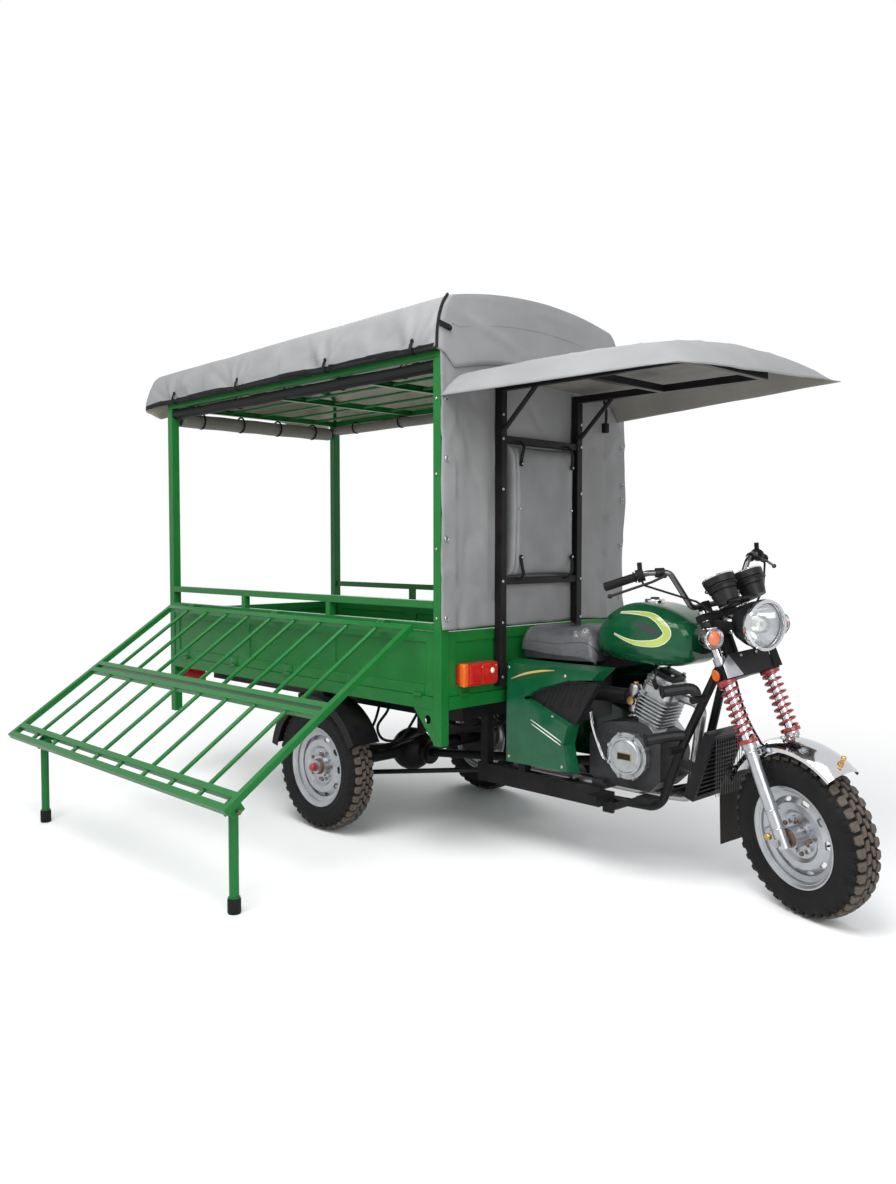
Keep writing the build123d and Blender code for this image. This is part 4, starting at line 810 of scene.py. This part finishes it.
# along from the start, half width and top height
seatRun = smoothRun([
    (-0.036, 0.104, 0.936), (-0.020, 0.130, 0.962), (0.04, 0.140, 0.972), (0.12, 0.139, 0.964),
    (0.19, 0.134, 0.968), (0.25, 0.122, 0.984), (0.29, 0.108, 0.980), (0.318, 0.088, 0.940),
    (0.326, 0.062, 0.890),
], 8)


def seatSpot(u, v, lift=0.0):
    place = u * (len(seatRun) - 1)
    index = min(int(place), len(seatRun) - 2)
    along, half, top = seatRun[index].lerp(seatRun[index + 1], place - index)
    angle = math.pi * v
    y = -(half + lift) * math.copysign(abs(math.cos(angle)) ** seat["round"], math.cos(angle))
    rise = math.sin(angle) ** seat["round"] if 0 < v < 1 else 0
    return Vector((seat["start"] + along, y, between(seat["base"], top + lift, rise)))


def seatSkin(u, v):
    spot = seatSpot(u, v)
    spot.z += seat["ripple"] * ripple(spot, 16, 3) * math.sin(math.pi * v)
    return spot


def filmSkin(u, v):
    along, across = (wrap["margin"] + wrap["reach"] * share for share in (u, v))
    spot = seatSpot(along, across, wrap["lift"])
    slant = Vector((spot.x + 0.5 * spot.z, spot.y * 0.7, spot.z - 0.4 * spot.x))
    crumple = ridge(slant, 9, 5, 4) + 0.4 * ridge(slant, 21, 6, 4)
    skirt = abs(math.cos(math.pi * v)) ** 6
    spot.z -= wrap["drop"] * u * skirt
    outward = math.copysign(wrap["crumple"] * crumple + wrap["flare"] * skirt, spot.y)
    return spot + Vector((0, outward, wrap["rise"] * crumple * (1 - skirt)))


part = closedBehind(grid(72, 48, seatSkin), lambda spot: Vector((spot.x, spot.y, seat["base"] - 0.002)))
seatCushion = addPiece("seat_cushion", {vinyl: [part]}, crease=60)
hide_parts("seat")
piping = [tube([seatSpot(index / 30, v) for index in range(31)], 0.003) for v in seat["piping"]]
addPiece("seat_piping", {rubber: piping})
part = tidied(grid(80, 60, filmSkin))
area = areaOf(part)
seatFilm = addPiece("seat_film", {film: [part]}, crease=60)
print("seat made")


# Decals: ribbons laid on the tank and covers.
def skinOf(name):
    thing = nodes[name]
    whole = bmesh.new()
    whole.from_mesh(thing.data)
    whole.transform(toVehicle @ thing.matrix_world)
    tree = BVHTree.FromBMesh(whole)
    whole.free()
    return tree


def onSkin(skin, x, z, sign):
    return skin.ray_cast(Vector((x, sign, z)), Vector((0, -sign, 0)))[:2]


def ribbon(skin, line, sign, lift):
    part = bmesh.new()
    run = smoothRun(line, 10)
    rows = []
    for index, (x, z, half) in enumerate(run):
        before, after = run[max(0, index - 1)], run[min(len(run) - 1, index + 1)]
        course = (after.xy - before.xy).normalized() * half
        row = []
        for share in (-1, -0.33, 0.33, 1):
            hit, normal = onSkin(skin, x - course.y * share, z + course.x * share, sign)
            row.append(part.verts.new(hit + normal * lift) if hit else None)
        rows.append(row)
    for near, far in zip(rows, rows[1:]):
        for corners in zip(near, near[1:], far[1:], far):
            if all(corners):
                part.faces.new(corners)
    bmesh.ops.recalc_face_normals(part, faces=part.faces)
    return part


# x, z and half width of each ribbon
swoosh = [
    (1.345, 1.050, 0.001), (1.43, 1.053, 0.004), (1.504, 1.046, 0.007), (1.556, 1.018, 0.010),
    (1.582, 0.980, 0.013), (1.545, 0.946, 0.012), (1.459, 0.938, 0.008), (1.39, 0.948, 0.004),
    (1.325, 0.966, 0.001),
]
swooshEdge = [(x, z, half + 0.0028) for x, z, half in swoosh]
heart = [(1.43, 1.012, 0.002), (1.48, 1.003, 0.012), (1.525, 0.987, 0.016), (1.552, 0.976, 0.004)]
goldLine = [(0.875, 0.752, 0.001), (0.95, 0.780, 0.004), (1.04, 0.800, 0.004), (1.112, 0.808, 0.001)]
whiteLines = [
    [(0.985, 0.592, 0.001), (1.05, 0.564, 0.0022), (1.11, 0.538, 0.0022), (1.148, 0.521, 0.001)],
    [(0.990, 0.575, 0.001), (1.05, 0.549, 0.0022), (1.11, 0.523, 0.0022), (1.145, 0.507, 0.001)],
]
tankSkin, coverSkin = skinOf("fuel_tank"), skinOf("side_covers")
decals = {lime: [], white: [], gold: [], dark: []}
for sign in (-1, 1):
    decals[lime].append(ribbon(tankSkin, swoosh, sign, 0.0012))
    decals[white].append(ribbon(tankSkin, swooshEdge, sign, 0.0006))
    decals[white] += [ribbon(coverSkin, line, sign, 0.0008) for line in whiteLines]
    decals[gold].append(ribbon(coverSkin, goldLine, sign, 0.0008))
    decals[dark].append(ribbon(tankSkin, heart, sign, 0.0006))
addPiece("decals", decals, crease=80)

# Tank and cover fittings: filler rings and button, screws.
capLow, capHigh = boxOf("tank_cap")
capMid = (capLow + capHigh) / 2
fillerRings = [(0.044, 0.0045, 0.012), (0.057, 0.006, 0.004)]  # radius, wire, rise
filler = [placed(hoop(radius, wire, 40), (*capMid.xy, capLow.z + rise)) for radius, wire, rise in fillerRings]
button = lathe([(0.018, 0), (0.018, 0.004), (0.014, 0.006), (0, 0.006)], 24)
filler.append(placed(button, (capMid.x, 0, capHigh.z)))
screws = []
for sign in (-1, 1):
    for x, z in ((0.862, 0.800), (1.165, 0.790), (0.862, 0.420), (1.150, 0.420), (1.10, 0.62)):
        hit, normal = onSkin(coverSkin, x, z, sign)
        if hit:
            screws.append(bead(hit, 0.007, 0.5, normal))
addPiece("filler_ring", {rubber: filler})
addPiece("cover_screws", {steel: screws})

# Headlamp: chrome rim, bright reflector with its bulb behind the clear lens.
barMid = forkSpot(0.882, -0.047, 0)
lampAt = barMid + Vector((0.268, 0, -0.058))
lens = dict(bars=7, gap=0.021, radius=0.074, back=-0.0185)
rim = lathe([
    (0.0885, -0.022), (0.0915, -0.020), (0.0935, -0.008), (0.0915, 0.003), (0.0865, 0.0075),
    (0.0805, 0.006), (0.0790, 0.000), (0.0805, -0.004), (0.0885, -0.004),
], 56)
mirror = lathe([
    (0.0, -0.096), (0.020, -0.094), (0.048, -0.072), (0.066, -0.042), (0.0765, -0.019),
    (0.0780, -0.019), (0.0675, -0.043), (0.0495, -0.0735), (0.0200, -0.096), (0.0, -0.098),
], 56)
bulb = lathe([
    (0.0, -0.038), (0.009, -0.040), (0.012, -0.048), (0.012, -0.075), (0.016, -0.078), (0.016, -0.094),
], 20)
bright = [placed(rim, lampAt, forward), placed(mirror, lampAt, forward)]
for sign in (-1, 1):
    spot = lampAt + Vector((-0.070, sign * 0.0995, -0.012))
    bright.append(bolt(spot, (0, sign, 0), 0.009, 0.006))
bars = []
for index in range(lens["bars"]):
    y = (index - (lens["bars"] - 1) / 2) * lens["gap"]
    reach = upward * math.sqrt(lens["radius"] ** 2 - y ** 2)
    spot = lampAt + Vector((lens["back"], y, 0))
    bars.append(rod(spot - reach, spot + reach, 0.0012))
lampGroups = {chrome: bright, white: [placed(bulb, lampAt, forward)], glass: bars}
addPiece("headlamp_fittings", lampGroups, "fork", steered)

# Turn signals: cups and bezels with an orange bulb behind a clear lens.
signal = dict(side=0.160, drop=0.030, stalkSide=0.099)
cupProfile = [
    (0, -0.142), (0.022, -0.142), (0.033, -0.138), (0.0386, -0.129), (0.0390, -0.098), (0.0410, -0.096),
    (0.0410, -0.090), (0.0385, -0.088), (0.0382, -0.094),
]
sleeveProfile = [
    (0.0096, 0), (0.0125, 0.001), (0.0125, 0.007), (0.0105, 0.010), (0.0105, 0.020), (0.0096, 0.022),
]
cups, bulbs, sleeves = [], [], []
for sign in (-1, 1):
    spot = lampAt + Vector((0, sign * signal["side"], -signal["drop"]))
    stalk = lampAt + Vector((-0.124, sign * signal["stalkSide"], -0.020))
    cups.append(placed(lathe(cupProfile, 36), spot, forward))
    bulbs.append(bead(spot - forward * 0.092, 0.027, 0.45, forward))
    sleeves.append(placed(lathe(sleeveProfile, 20), stalk, (0, sign, 0)))
addPiece("turn_signal_fittings", {chrome: cups, amber: bulbs, rubber: sleeves}, "fork", steered)

# Gauges: chrome rings, dark dials with pale marks, hands and pins.
gauge = dict(side=0.066, back=-0.116, rise=0.087, marks=11, firstMark=-130, markStep=26)
dialTilt = Vector((-0.45, 0, 0.9)).normalized()
dialAlong = dialTilt.cross(leftward).normalized()
dialRings, dials, marks, hands = [], [], [], []
for sign in (-1, 1):
    base = lampAt + Vector((gauge["back"], sign * gauge["side"], gauge["rise"]))
    centre = base + dialTilt * 0.0905
    dialRings.append(placed(hoop(0.0575, 0.0035, 40), base + dialTilt * 0.0945, dialTilt))
    dial = lathe([(0, 0.0), (0.050, 0.0), (0.050, 0.0012), (0, 0.0012)], 36)
    dials.append(placed(hoop(0.0600, 0.0030, 40), base + dialTilt * 0.060, dialTilt))
    dials.append(placed(dial, base + dialTilt * 0.0875, dialTilt))
    for index in range(gauge["marks"]):
        angle = math.radians(gauge["firstMark"] + gauge["markStep"] * index)
        ray = dialAlong * math.cos(angle) + leftward * math.sin(angle)
        marks.append(rod(centre + ray * 0.038, centre + ray * 0.046, 0.0012))
    hands.append(rod(centre, centre - dialAlong * 0.030 + leftward * sign * 0.018, 0.0014))
    hands.append(bead(centre, 0.006, 0.6, dialTilt))
gaugeGroups = {chrome: dialRings, plastic: dials, white: marks, red: hands}
addPiece("gauge_fittings", gaugeGroups, "fork", steered)

# Grips: ribs, end flanges and rounded ends.
grip = dict(tip=(-0.134, 0.390, 0.115), root=(-0.042, 0.262, 0.153), ribs=11, first=0.008, gap=0.009)
gripParts = []
for sign in (-1, 1):
    tip, root = (barMid + Vector((x, sign * y, z)) for x, y, z in (grip["tip"], grip["root"]))
    course = (tip - root).normalized()
    for index in range(grip["ribs"]):
        spot = tip - course * (grip["first"] + grip["gap"] * index)
        gripParts.append(placed(hoop(0.0158, 0.0016, 20, 6), spot, course))
    gripParts.append(placed(hoop(0.0175, 0.0035, 24), tip - course * 0.112, course))
    gripParts.append(bead(tip, 0.017, 0.4, course))
addPiece("grip_ribs", {rubber: gripParts}, "fork", steered)

# Fork: red collars at the springs, lower lugs with brass bolts, crown covers and a cable.
leg = dict(side=0.103, hoops=(0.045, 0.110, 0.320), collars=((0.350, 0.0280), (0.572, 0.0195)))
topSleeve = [(0.0190, 0), (0.0225, 0.001), (0.0225, 0.030), (0.0190, 0.031)]
reflectorRing = [(0.0205, 0), (0.0245, 0.001), (0.0245, 0.007), (0.0205, 0.009)]
# side and height of the crown covers' corners, right and left
crownCorners = {
    -1: ((0.128, 0.588), (0.128, 0.640), (0.090, 0.672), (0.052, 0.590)),
    1: ((0.132, 0.590), (0.130, 0.674), (0.094, 0.674), (0.094, 0.590)),
}


def crownCover(sign):
    cover = bmesh.new()
    corners = [forkSpot(along, 0.0425, sign * side) for side, along in crownCorners[sign]]
    cover.faces.new([cover.verts.new(corner) for corner in corners])
    bmesh.ops.recalc_face_normals(cover, faces=cover.faces)
    bmesh.ops.solidify(cover, geom=cover.faces[:], thickness=0.003)
    return softened(cover, cover.edges[:], 0.0012, 2)


forkParts = {silver: [], red: [], rust: [], rubber: [], steel: [], brass: []}
for sign in (-1, 1):
    side, outward = sign * leg["side"], (0, sign, 0)
    for along, radius in leg["collars"]:
        collar = lathe([
            (radius, 0), (0.034, 0.001), (0.0365, 0.004), (0.0365, 0.012), (0.034, 0.0155), (radius, 0.016),
        ], 36)
        forkParts[red].append(placed(collar, forkSpot(along, 0, side), steerAxis))
    for along in leg["hoops"]:
        forkParts[silver].append(placed(hoop(0.0285, 0.0022, 32), forkSpot(along, 0, side), steerAxis))
    lug = chunk((0.036, 0.038, 0.062), 0.008)
    ring = lathe(reflectorRing, 28)
    forkParts[silver].append(placed(lathe(topSleeve, 28), forkSpot(0.642, 0, side), steerAxis))
    forkParts[silver].append(placed(lug, forkSpot(0.028, -0.034, side), steerAxis))
    forkParts[brass].append(bolt(forkSpot(0.026, -0.036, side + sign * 0.019), outward, 0.014, 0.012))
    forkParts[silver if sign < 0 else rubber].append(crownCover(sign))
    forkParts[rubber].append(placed(ring, forkSpot(0.613, -0.008, sign * 0.127), outward))
    for across in (0.045, 0.080):
        forkParts[steel].append(bolt(forkSpot(0.8405, 0, sign * across), steerAxis, 0.010, 0.008))
    forkParts[steel].append(bolt(forkSpot(0.660, 0.041, sign * 0.036), forkAhead, 0.006, 0.004))
forkParts[steel].append(bolt(forkSpot(0.8405, 0, 0), steerAxis, 0.020, 0.014))
cableRun = ((0.598, -0.01, -0.050), (0.50, -0.014, -0.058), (0.42, -0.012, -0.056), (0.334, 0, -0.046))
forkParts[rubber].append(tube(smoothRun([forkSpot(*place) for place in cableRun], 6), 0.0045))
addPiece("fork_fittings", forkParts, "fork", steered)

# Fender: brass bolt with its knob near the nose, and bracket bolts.
fender = dict(radius=0.3465, nose=58, brackets=(96, 150), side=0.03)


def fenderRay(degrees):
    return Vector((math.cos(math.radians(degrees)), 0, math.sin(math.radians(degrees))))


nose = fenderRay(fender["nose"])
knob = axleHome + nose * 0.378
noseParts = [bolt(axleHome + nose * fender["radius"], nose, 0.011, 0.010), bead(knob, 0.009)]
noseParts.append(tube([axleHome + nose * 0.352, knob], 0.006))
bracketBolts = []
for ray in map(fenderRay, fender["brackets"]):
    for side in (-fender["side"], fender["side"]):
        bracketBolts.append(bolt(axleHome + ray * fender["radius"] + leftward * side, ray, 0.011, 0.010))
addPiece("fender_bolts", {brass: noseParts, steel: bracketBolts}, "fork", steered)
print("fork made")

# Engine: black rocker cover, head bolts, carburettor, clutch bolts and blank badge, kick lever.
rocker = dict(size=(0.096, 0.104, 0.024), edge=0.009, height=0.2225, boltHeight=0.234)
clutch = dict(middle=Vector((1.390, -0.130, 0.485)), bolts=8, boltRadius=0.088)
carb = Vector((1.345, 0, 0.632))
carbProfile = [
    (0, 0.122), (0.021, 0.121), (0.0265, 0.108), (0.0265, 0.070), (0.033, 0.066), (0.033, 0.044),
    (0.0265, 0.040), (0.0265, 0.014), (0.018, 0.002), (0, 0),
]
pegs = [
    ((1.690, -0.115, 0.786), (1.640, -0.160, 0.777), (1.600, -0.200, 0.769)),
    ((1.622, -0.115, 0.602), (1.530, -0.200, 0.576)),
]
kick = [
    (1.232, -0.150, 0.655), (1.240, -0.160, 0.630), (1.262, -0.160, 0.560), (1.290, -0.150, 0.480),
    (1.296, -0.132, 0.455),
]


def barrelSpot(height, ahead, side):
    return barrel["foot"] + barrelUp * height + barrelAhead * ahead + leftward * side


cover = chunk(rocker["size"], rocker["edge"])
coverAt = Matrix.Translation(barrelSpot(rocker["height"], 0, 0))
cover.transform(coverAt @ Matrix.Rotation(barrel["lean"], 4, "Y"))
plug = [barrelSpot(height, 0, side) for height, side in ((0.165, -0.058), (0.185, -0.085), (0.205, -0.100))]
lead = [plug[-1], (1.50, -0.085, 0.835), (1.46, -0.05, 0.850), (1.40, -0.03, 0.848)]
disc = lathe([(0.066, 0), (0.066, 0.003), (0.062, 0.006), (0, 0.0075)], 40)
screw = lathe([(0, 0), (0.016, 0), (0.019, 0.006), (0.016, 0.014), (0, 0.016)], 24)
metal = [
    placed(lathe(carbProfile, 28), carb),
    placed(disc, clutch["middle"] - leftward * 0.0040, -leftward),
]
for ahead in (-0.036, 0.036):
    for side in (-0.042, 0.042):
        metal.append(bolt(barrelSpot(rocker["boltHeight"], ahead, side), barrelUp, 0.0075, 0.007))
for index in range(clutch["bolts"]):
    angle = math.tau * (index + 0.5) / clutch["bolts"]
    spot = clutch["middle"] + clutch["boltRadius"] * Vector((math.cos(angle), 0, math.sin(angle)))
    metal.append(bolt(spot, -leftward, 0.0065, 0.005))
brassParts = [
    bolt(carb + upward * 0.122, upward, 0.010, 0.010),
    placed(screw, carb + Vector((0, -0.026, 0.058)), -leftward),
    placed(chunk((0.066, 0.004, 0.030), 0.0016), clutch["middle"] - leftward * 0.0112),
]
darkParts = [
    cover, tube(plug, 0.010), tube(smoothRun(lead, 6), 0.004),
    placed(chunk((0.060, 0.004, 0.024), 0.0016), clutch["middle"] - leftward * 0.0124),
    tube([kick[0], (1.232, -0.195, 0.655)], 0.010),
]
frameSkin = skinOf("main_frame")
for peg in pegs:
    line = [Vector(point) for point in peg]
    line.insert(0, frameSkin.find_nearest(line[0])[0])
    darkParts += [tube(line, 0.021), bead(line[-1], 0.026, 0.35, line[-1] - line[-2])]
kickLever = tube(smoothRun(kick, 6), 0.006)
addPiece("engine_fittings", {alloy: metal, plastic: darkParts, brass: brassParts, chrome: [kickLever]})

# Radiator: bright wires over the slats.
radiator = dict(wires=12, sideGap=0.022, endGap=0.03, back=0.004, radius=0.0013)
radLow, radHigh = boxOf("radiator")
wires = []
for index in range(radiator["wires"]):
    share = index / (radiator["wires"] - 1)
    x = radHigh.x - radiator["back"]
    y = between(radLow.y + radiator["sideGap"], radHigh.y - radiator["sideGap"], share)
    foot, top = (x, y, radLow.z + radiator["endGap"]), (x, y, radHigh.z - radiator["endGap"])
    wires.append(rod(foot, top, radiator["radius"]))
addPiece("radiator_mesh", {darkChrome: wires})
print("engine made")

# Bed: hinge plates along the sill, rivets on the post.
sill = dict(right=-0.580, front=boxOf("bed_front_panel")[1].x, height=0.702, pin=0.0085)
halfPin = 0.024
hinges = []
for x in (-1.20, -0.72, -0.24, 0.24, 0.68):
    plate = chunk((0.060, 0.005, 0.040), 0.0015)
    pin = [(end, sill["right"] - 0.007, sill["height"] + 0.001) for end in (x - halfPin, x + halfPin)]
    hinges.append(placed(plate, (x, sill["right"] - 0.001, sill["height"] + 0.02)))
    hinges.append(tube(pin, sill["pin"], False))
for y in (-0.45, -0.12, 0.12, 0.45):
    plate = chunk((0.005, 0.060, 0.036), 0.0015)
    pin = [(sill["front"] + 0.006, end, sill["height"]) for end in (y - halfPin, y + halfPin)]
    hinges.append(placed(plate, (sill["front"] + 0.001, y, sill["height"] + 0.02)))
    hinges.append(tube(pin, sill["pin"], False))
addPiece("sill_hinges", {green: hinges})
postRivets = [bead((0.790, -0.588, z), 0.006, 0.5, -leftward) for z in (1.02, 1.30, 1.60, 1.90)]
addPiece("panel_rivets", {steel: postRivets})

# Lamps: red panes with amber ends and screws in front, red and amber panes at the rear.
lampLow, lampHigh = boxOf("marker_lamps")
lampMid, lampSize = (lampLow + lampHigh) / 2, lampHigh - lampLow
markers = {amber: [], redLens: [], steel: [], white: []}
for sign in (-1, 1):
    for side, width in ((0.4205, 0.0700), (0.3360, 0.0880)):
        pane = chunk((0.008, width, lampSize.z - 0.012), 0.003)
        markers[redLens].append(placed(pane, (lampHigh.x - 0.0005, sign * side, lampMid.z)))
    end = chunk((lampSize.x - 0.012, 0.030, lampSize.z + 0.002), 0.006, 3)
    markers[amber].append(placed(end, (lampMid.x + 0.0075, sign * (lampHigh.y - 0.0140), lampMid.z)))
    for side in (0.3826, 0.3000):
        spot = (lampHigh.x + 0.0002, sign * side, lampHigh.z - 0.018)
        markers[steel].append(bolt(spot, forward, 0.005, 0.004))
    spot = (lampHigh.x + 0.003, sign * 0.322, lampMid.z + 0.01)
    markers[white].append(bead(spot, 0.012, 0.3, forward))
addPiece("marker_lenses", markers)
tailLow, tailHigh = boxOf("tail_lamps")
tails = {amber: [], redLens: []}
for sign in (-1, 1):
    for side, width, finish in ((0.435, 0.062, redLens), (0.498, 0.054, amber)):
        pane = chunk((0.010, width, 0.090), 0.003)
        tails[finish].append(placed(pane, (tailLow.x - 0.003, sign * side, (tailLow.z + tailHigh.z) / 2)))
addPiece("tail_lenses", tails)

# Rack: leg bolts and rubber feet.
bootProfile = [
    (0, 0.0008), (0.021, 0.0008), (0.0245, 0.006), (0.0245, 0.052), (0.0225, 0.058), (0.016, 0.058),
]
pivotBolts = []
for name in ("rear_leg", "front_leg"):
    pivot = toVehicle @ jointAt(name)
    for way in (-forward, forward):
        pivotBolts.append(bolt(pivot + way * 0.034, way, 0.010, 0.008))
    low, high = boxOf(name)
    foot = ((low.x + high.x) / 2, low.y + 0.022, 0)
    addPiece(name + "_boot", {rubber: [placed(lathe(bootProfile, 24), foot)]}, name)
addPiece("leg_pivot_bolts", {rust: pivotBolts}, "rack")

# Brake hoses loop from the rails to the axle, inside each rear wheel.
hoseRuns = [
    [(0.02, 0.40, 0.340), (0.10, 0.40, 0.400), (0.16, 0.38, 0.500), (0.15, 0.33, 0.615)],
    [
        (0.20, 0.33, 0.615), (0.24, 0.37, 0.560), (0.19, 0.39, 0.480), (0.23, 0.39, 0.425),
        (0.32, 0.36, 0.440), (0.37, 0.30, 0.560),
    ],
]
hoses = []
for sign in (-1, 1):
    for line in hoseRuns:
        hoses.append(tube(smoothRun([(x, sign * y, z) for x, y, z in line], 6), 0.0065))
addPiece("brake_hoses", {rubber: hoses})
print("bed made")

# Stage: pale floor that fades into the white background, and soft studio light.
stage = dict(half=14, grey=0.86, fadeStart=2.2, fadeEnd=4.6, ambient=0.62)
floorPart = bmesh.new()
bmesh.ops.create_grid(floorPart, x_segments=1, y_segments=1, size=stage["half"])
floorMesh = bpy.data.meshes.new("floor")
floorPart.to_mesh(floorMesh)
floorPart.free()
floor = bpy.data.objects.new("floor", floorMesh)
scene.collection.objects.link(floor)
pale = bpy.data.materials.new("pale floor")
pale.use_nodes = True
tree = pale.node_tree
ground = tree.nodes["Principled BSDF"]
ground.inputs["Base Color"].default_value = (stage["grey"], stage["grey"], stage["grey"], 1)
ground.inputs["Roughness"].default_value = 0.7
ground.inputs["Specular IOR Level"].default_value = 0.15
coords = addNode(tree, "TexCoord")
distance = addNode(tree, "VectorMath")
distance.operation = "LENGTH"
fade = addNode(tree, "MapRange", {"From Min": stage["fadeStart"], "From Max": stage["fadeEnd"]})
fade.interpolation_type = "SMOOTHSTEP"
glow = addNode(tree, "Emission")
blend = addNode(tree, "MixShader")
tree.links.new(coords.outputs["Object"], distance.inputs[0])
tree.links.new(distance.outputs["Value"], fade.inputs["Value"])
tree.links.new(fade.outputs["Result"], blend.inputs["Fac"])
tree.links.new(ground.outputs["BSDF"], blend.inputs[1])
tree.links.new(glow.outputs["Emission"], blend.inputs[2])
tree.links.new(blend.outputs["Shader"], tree.nodes["Material Output"].inputs["Surface"])
floorMesh.materials.append(pale)

world = bpy.data.worlds.new("studio")
world.use_nodes = True
scene.world = world
tree = world.node_tree
tree.nodes.clear()
rays = addNode(tree, "LightPath")
direct = rays.outputs["Is Camera Ray"]
for kind in ("Is Glossy Ray", "Is Transmission Ray"):
    either = addNode(tree, "Math")
    either.operation = "MAXIMUM"
    tree.links.new(direct, either.inputs[0])
    tree.links.new(rays.outputs[kind], either.inputs[1])
    direct = either.outputs["Value"]
backdrop = addNode(tree, "Background", {"Color": (1, 1, 1, 1)})
ambient = addNode(tree, "Background", {"Color": (0.95, 0.97, 1, 1), "Strength": stage["ambient"]})
switch = addNode(tree, "MixShader")
output = addNode(tree, "OutputWorld")
tree.links.new(direct, switch.inputs["Fac"])
tree.links.new(ambient.outputs["Background"], switch.inputs[1])
tree.links.new(backdrop.outputs["Background"], switch.inputs[2])
tree.links.new(switch.outputs["Shader"], output.inputs["Surface"])

# name, place, aim, size, power
lights = [
    ("key", (1.2, -2.6, 5.2), (-0.2, 0, 0.8), 3.4, 330),
    ("fill", (4.6, -1.6, 2.4), (0.6, 0, 0.9), 2.6, 95),
    ("rim", (-3.8, 3.6, 4.2), (0, 0.4, 1.0), 2.8, 120),
]
for name, place, aim, size, power in lights:
    lamp = bpy.data.lights.new(name, "AREA")
    lamp.size = size
    lamp.energy = power
    holder = bpy.data.objects.new(name, lamp)
    holder.location = place
    holder.rotation_euler = (Vector(aim) - Vector(place)).to_track_quat("-Z", "Y").to_euler()
    scene.collection.objects.link(holder)

view = dict(place=(3.6564, -3.3286, 1.3118), azimuth=45.604, down=2.659, lens=30.04)
turn, tip = math.radians(view["azimuth"]), math.radians(view["down"])
back = Vector((math.sin(turn) * math.cos(tip), -math.cos(turn) * math.cos(tip), math.sin(tip)))
camera = bpy.data.cameras.new("camera")
camera.lens = view["lens"]
cameraHolder = bpy.data.objects.new("camera", camera)
cameraHolder.location = origin @ Vector(view["place"])
cameraHolder.rotation_euler = (-back).to_track_quat("-Z", "Y").to_euler()
scene.collection.objects.link(cameraHolder)
scene.camera = cameraHolder

print("scene ready")
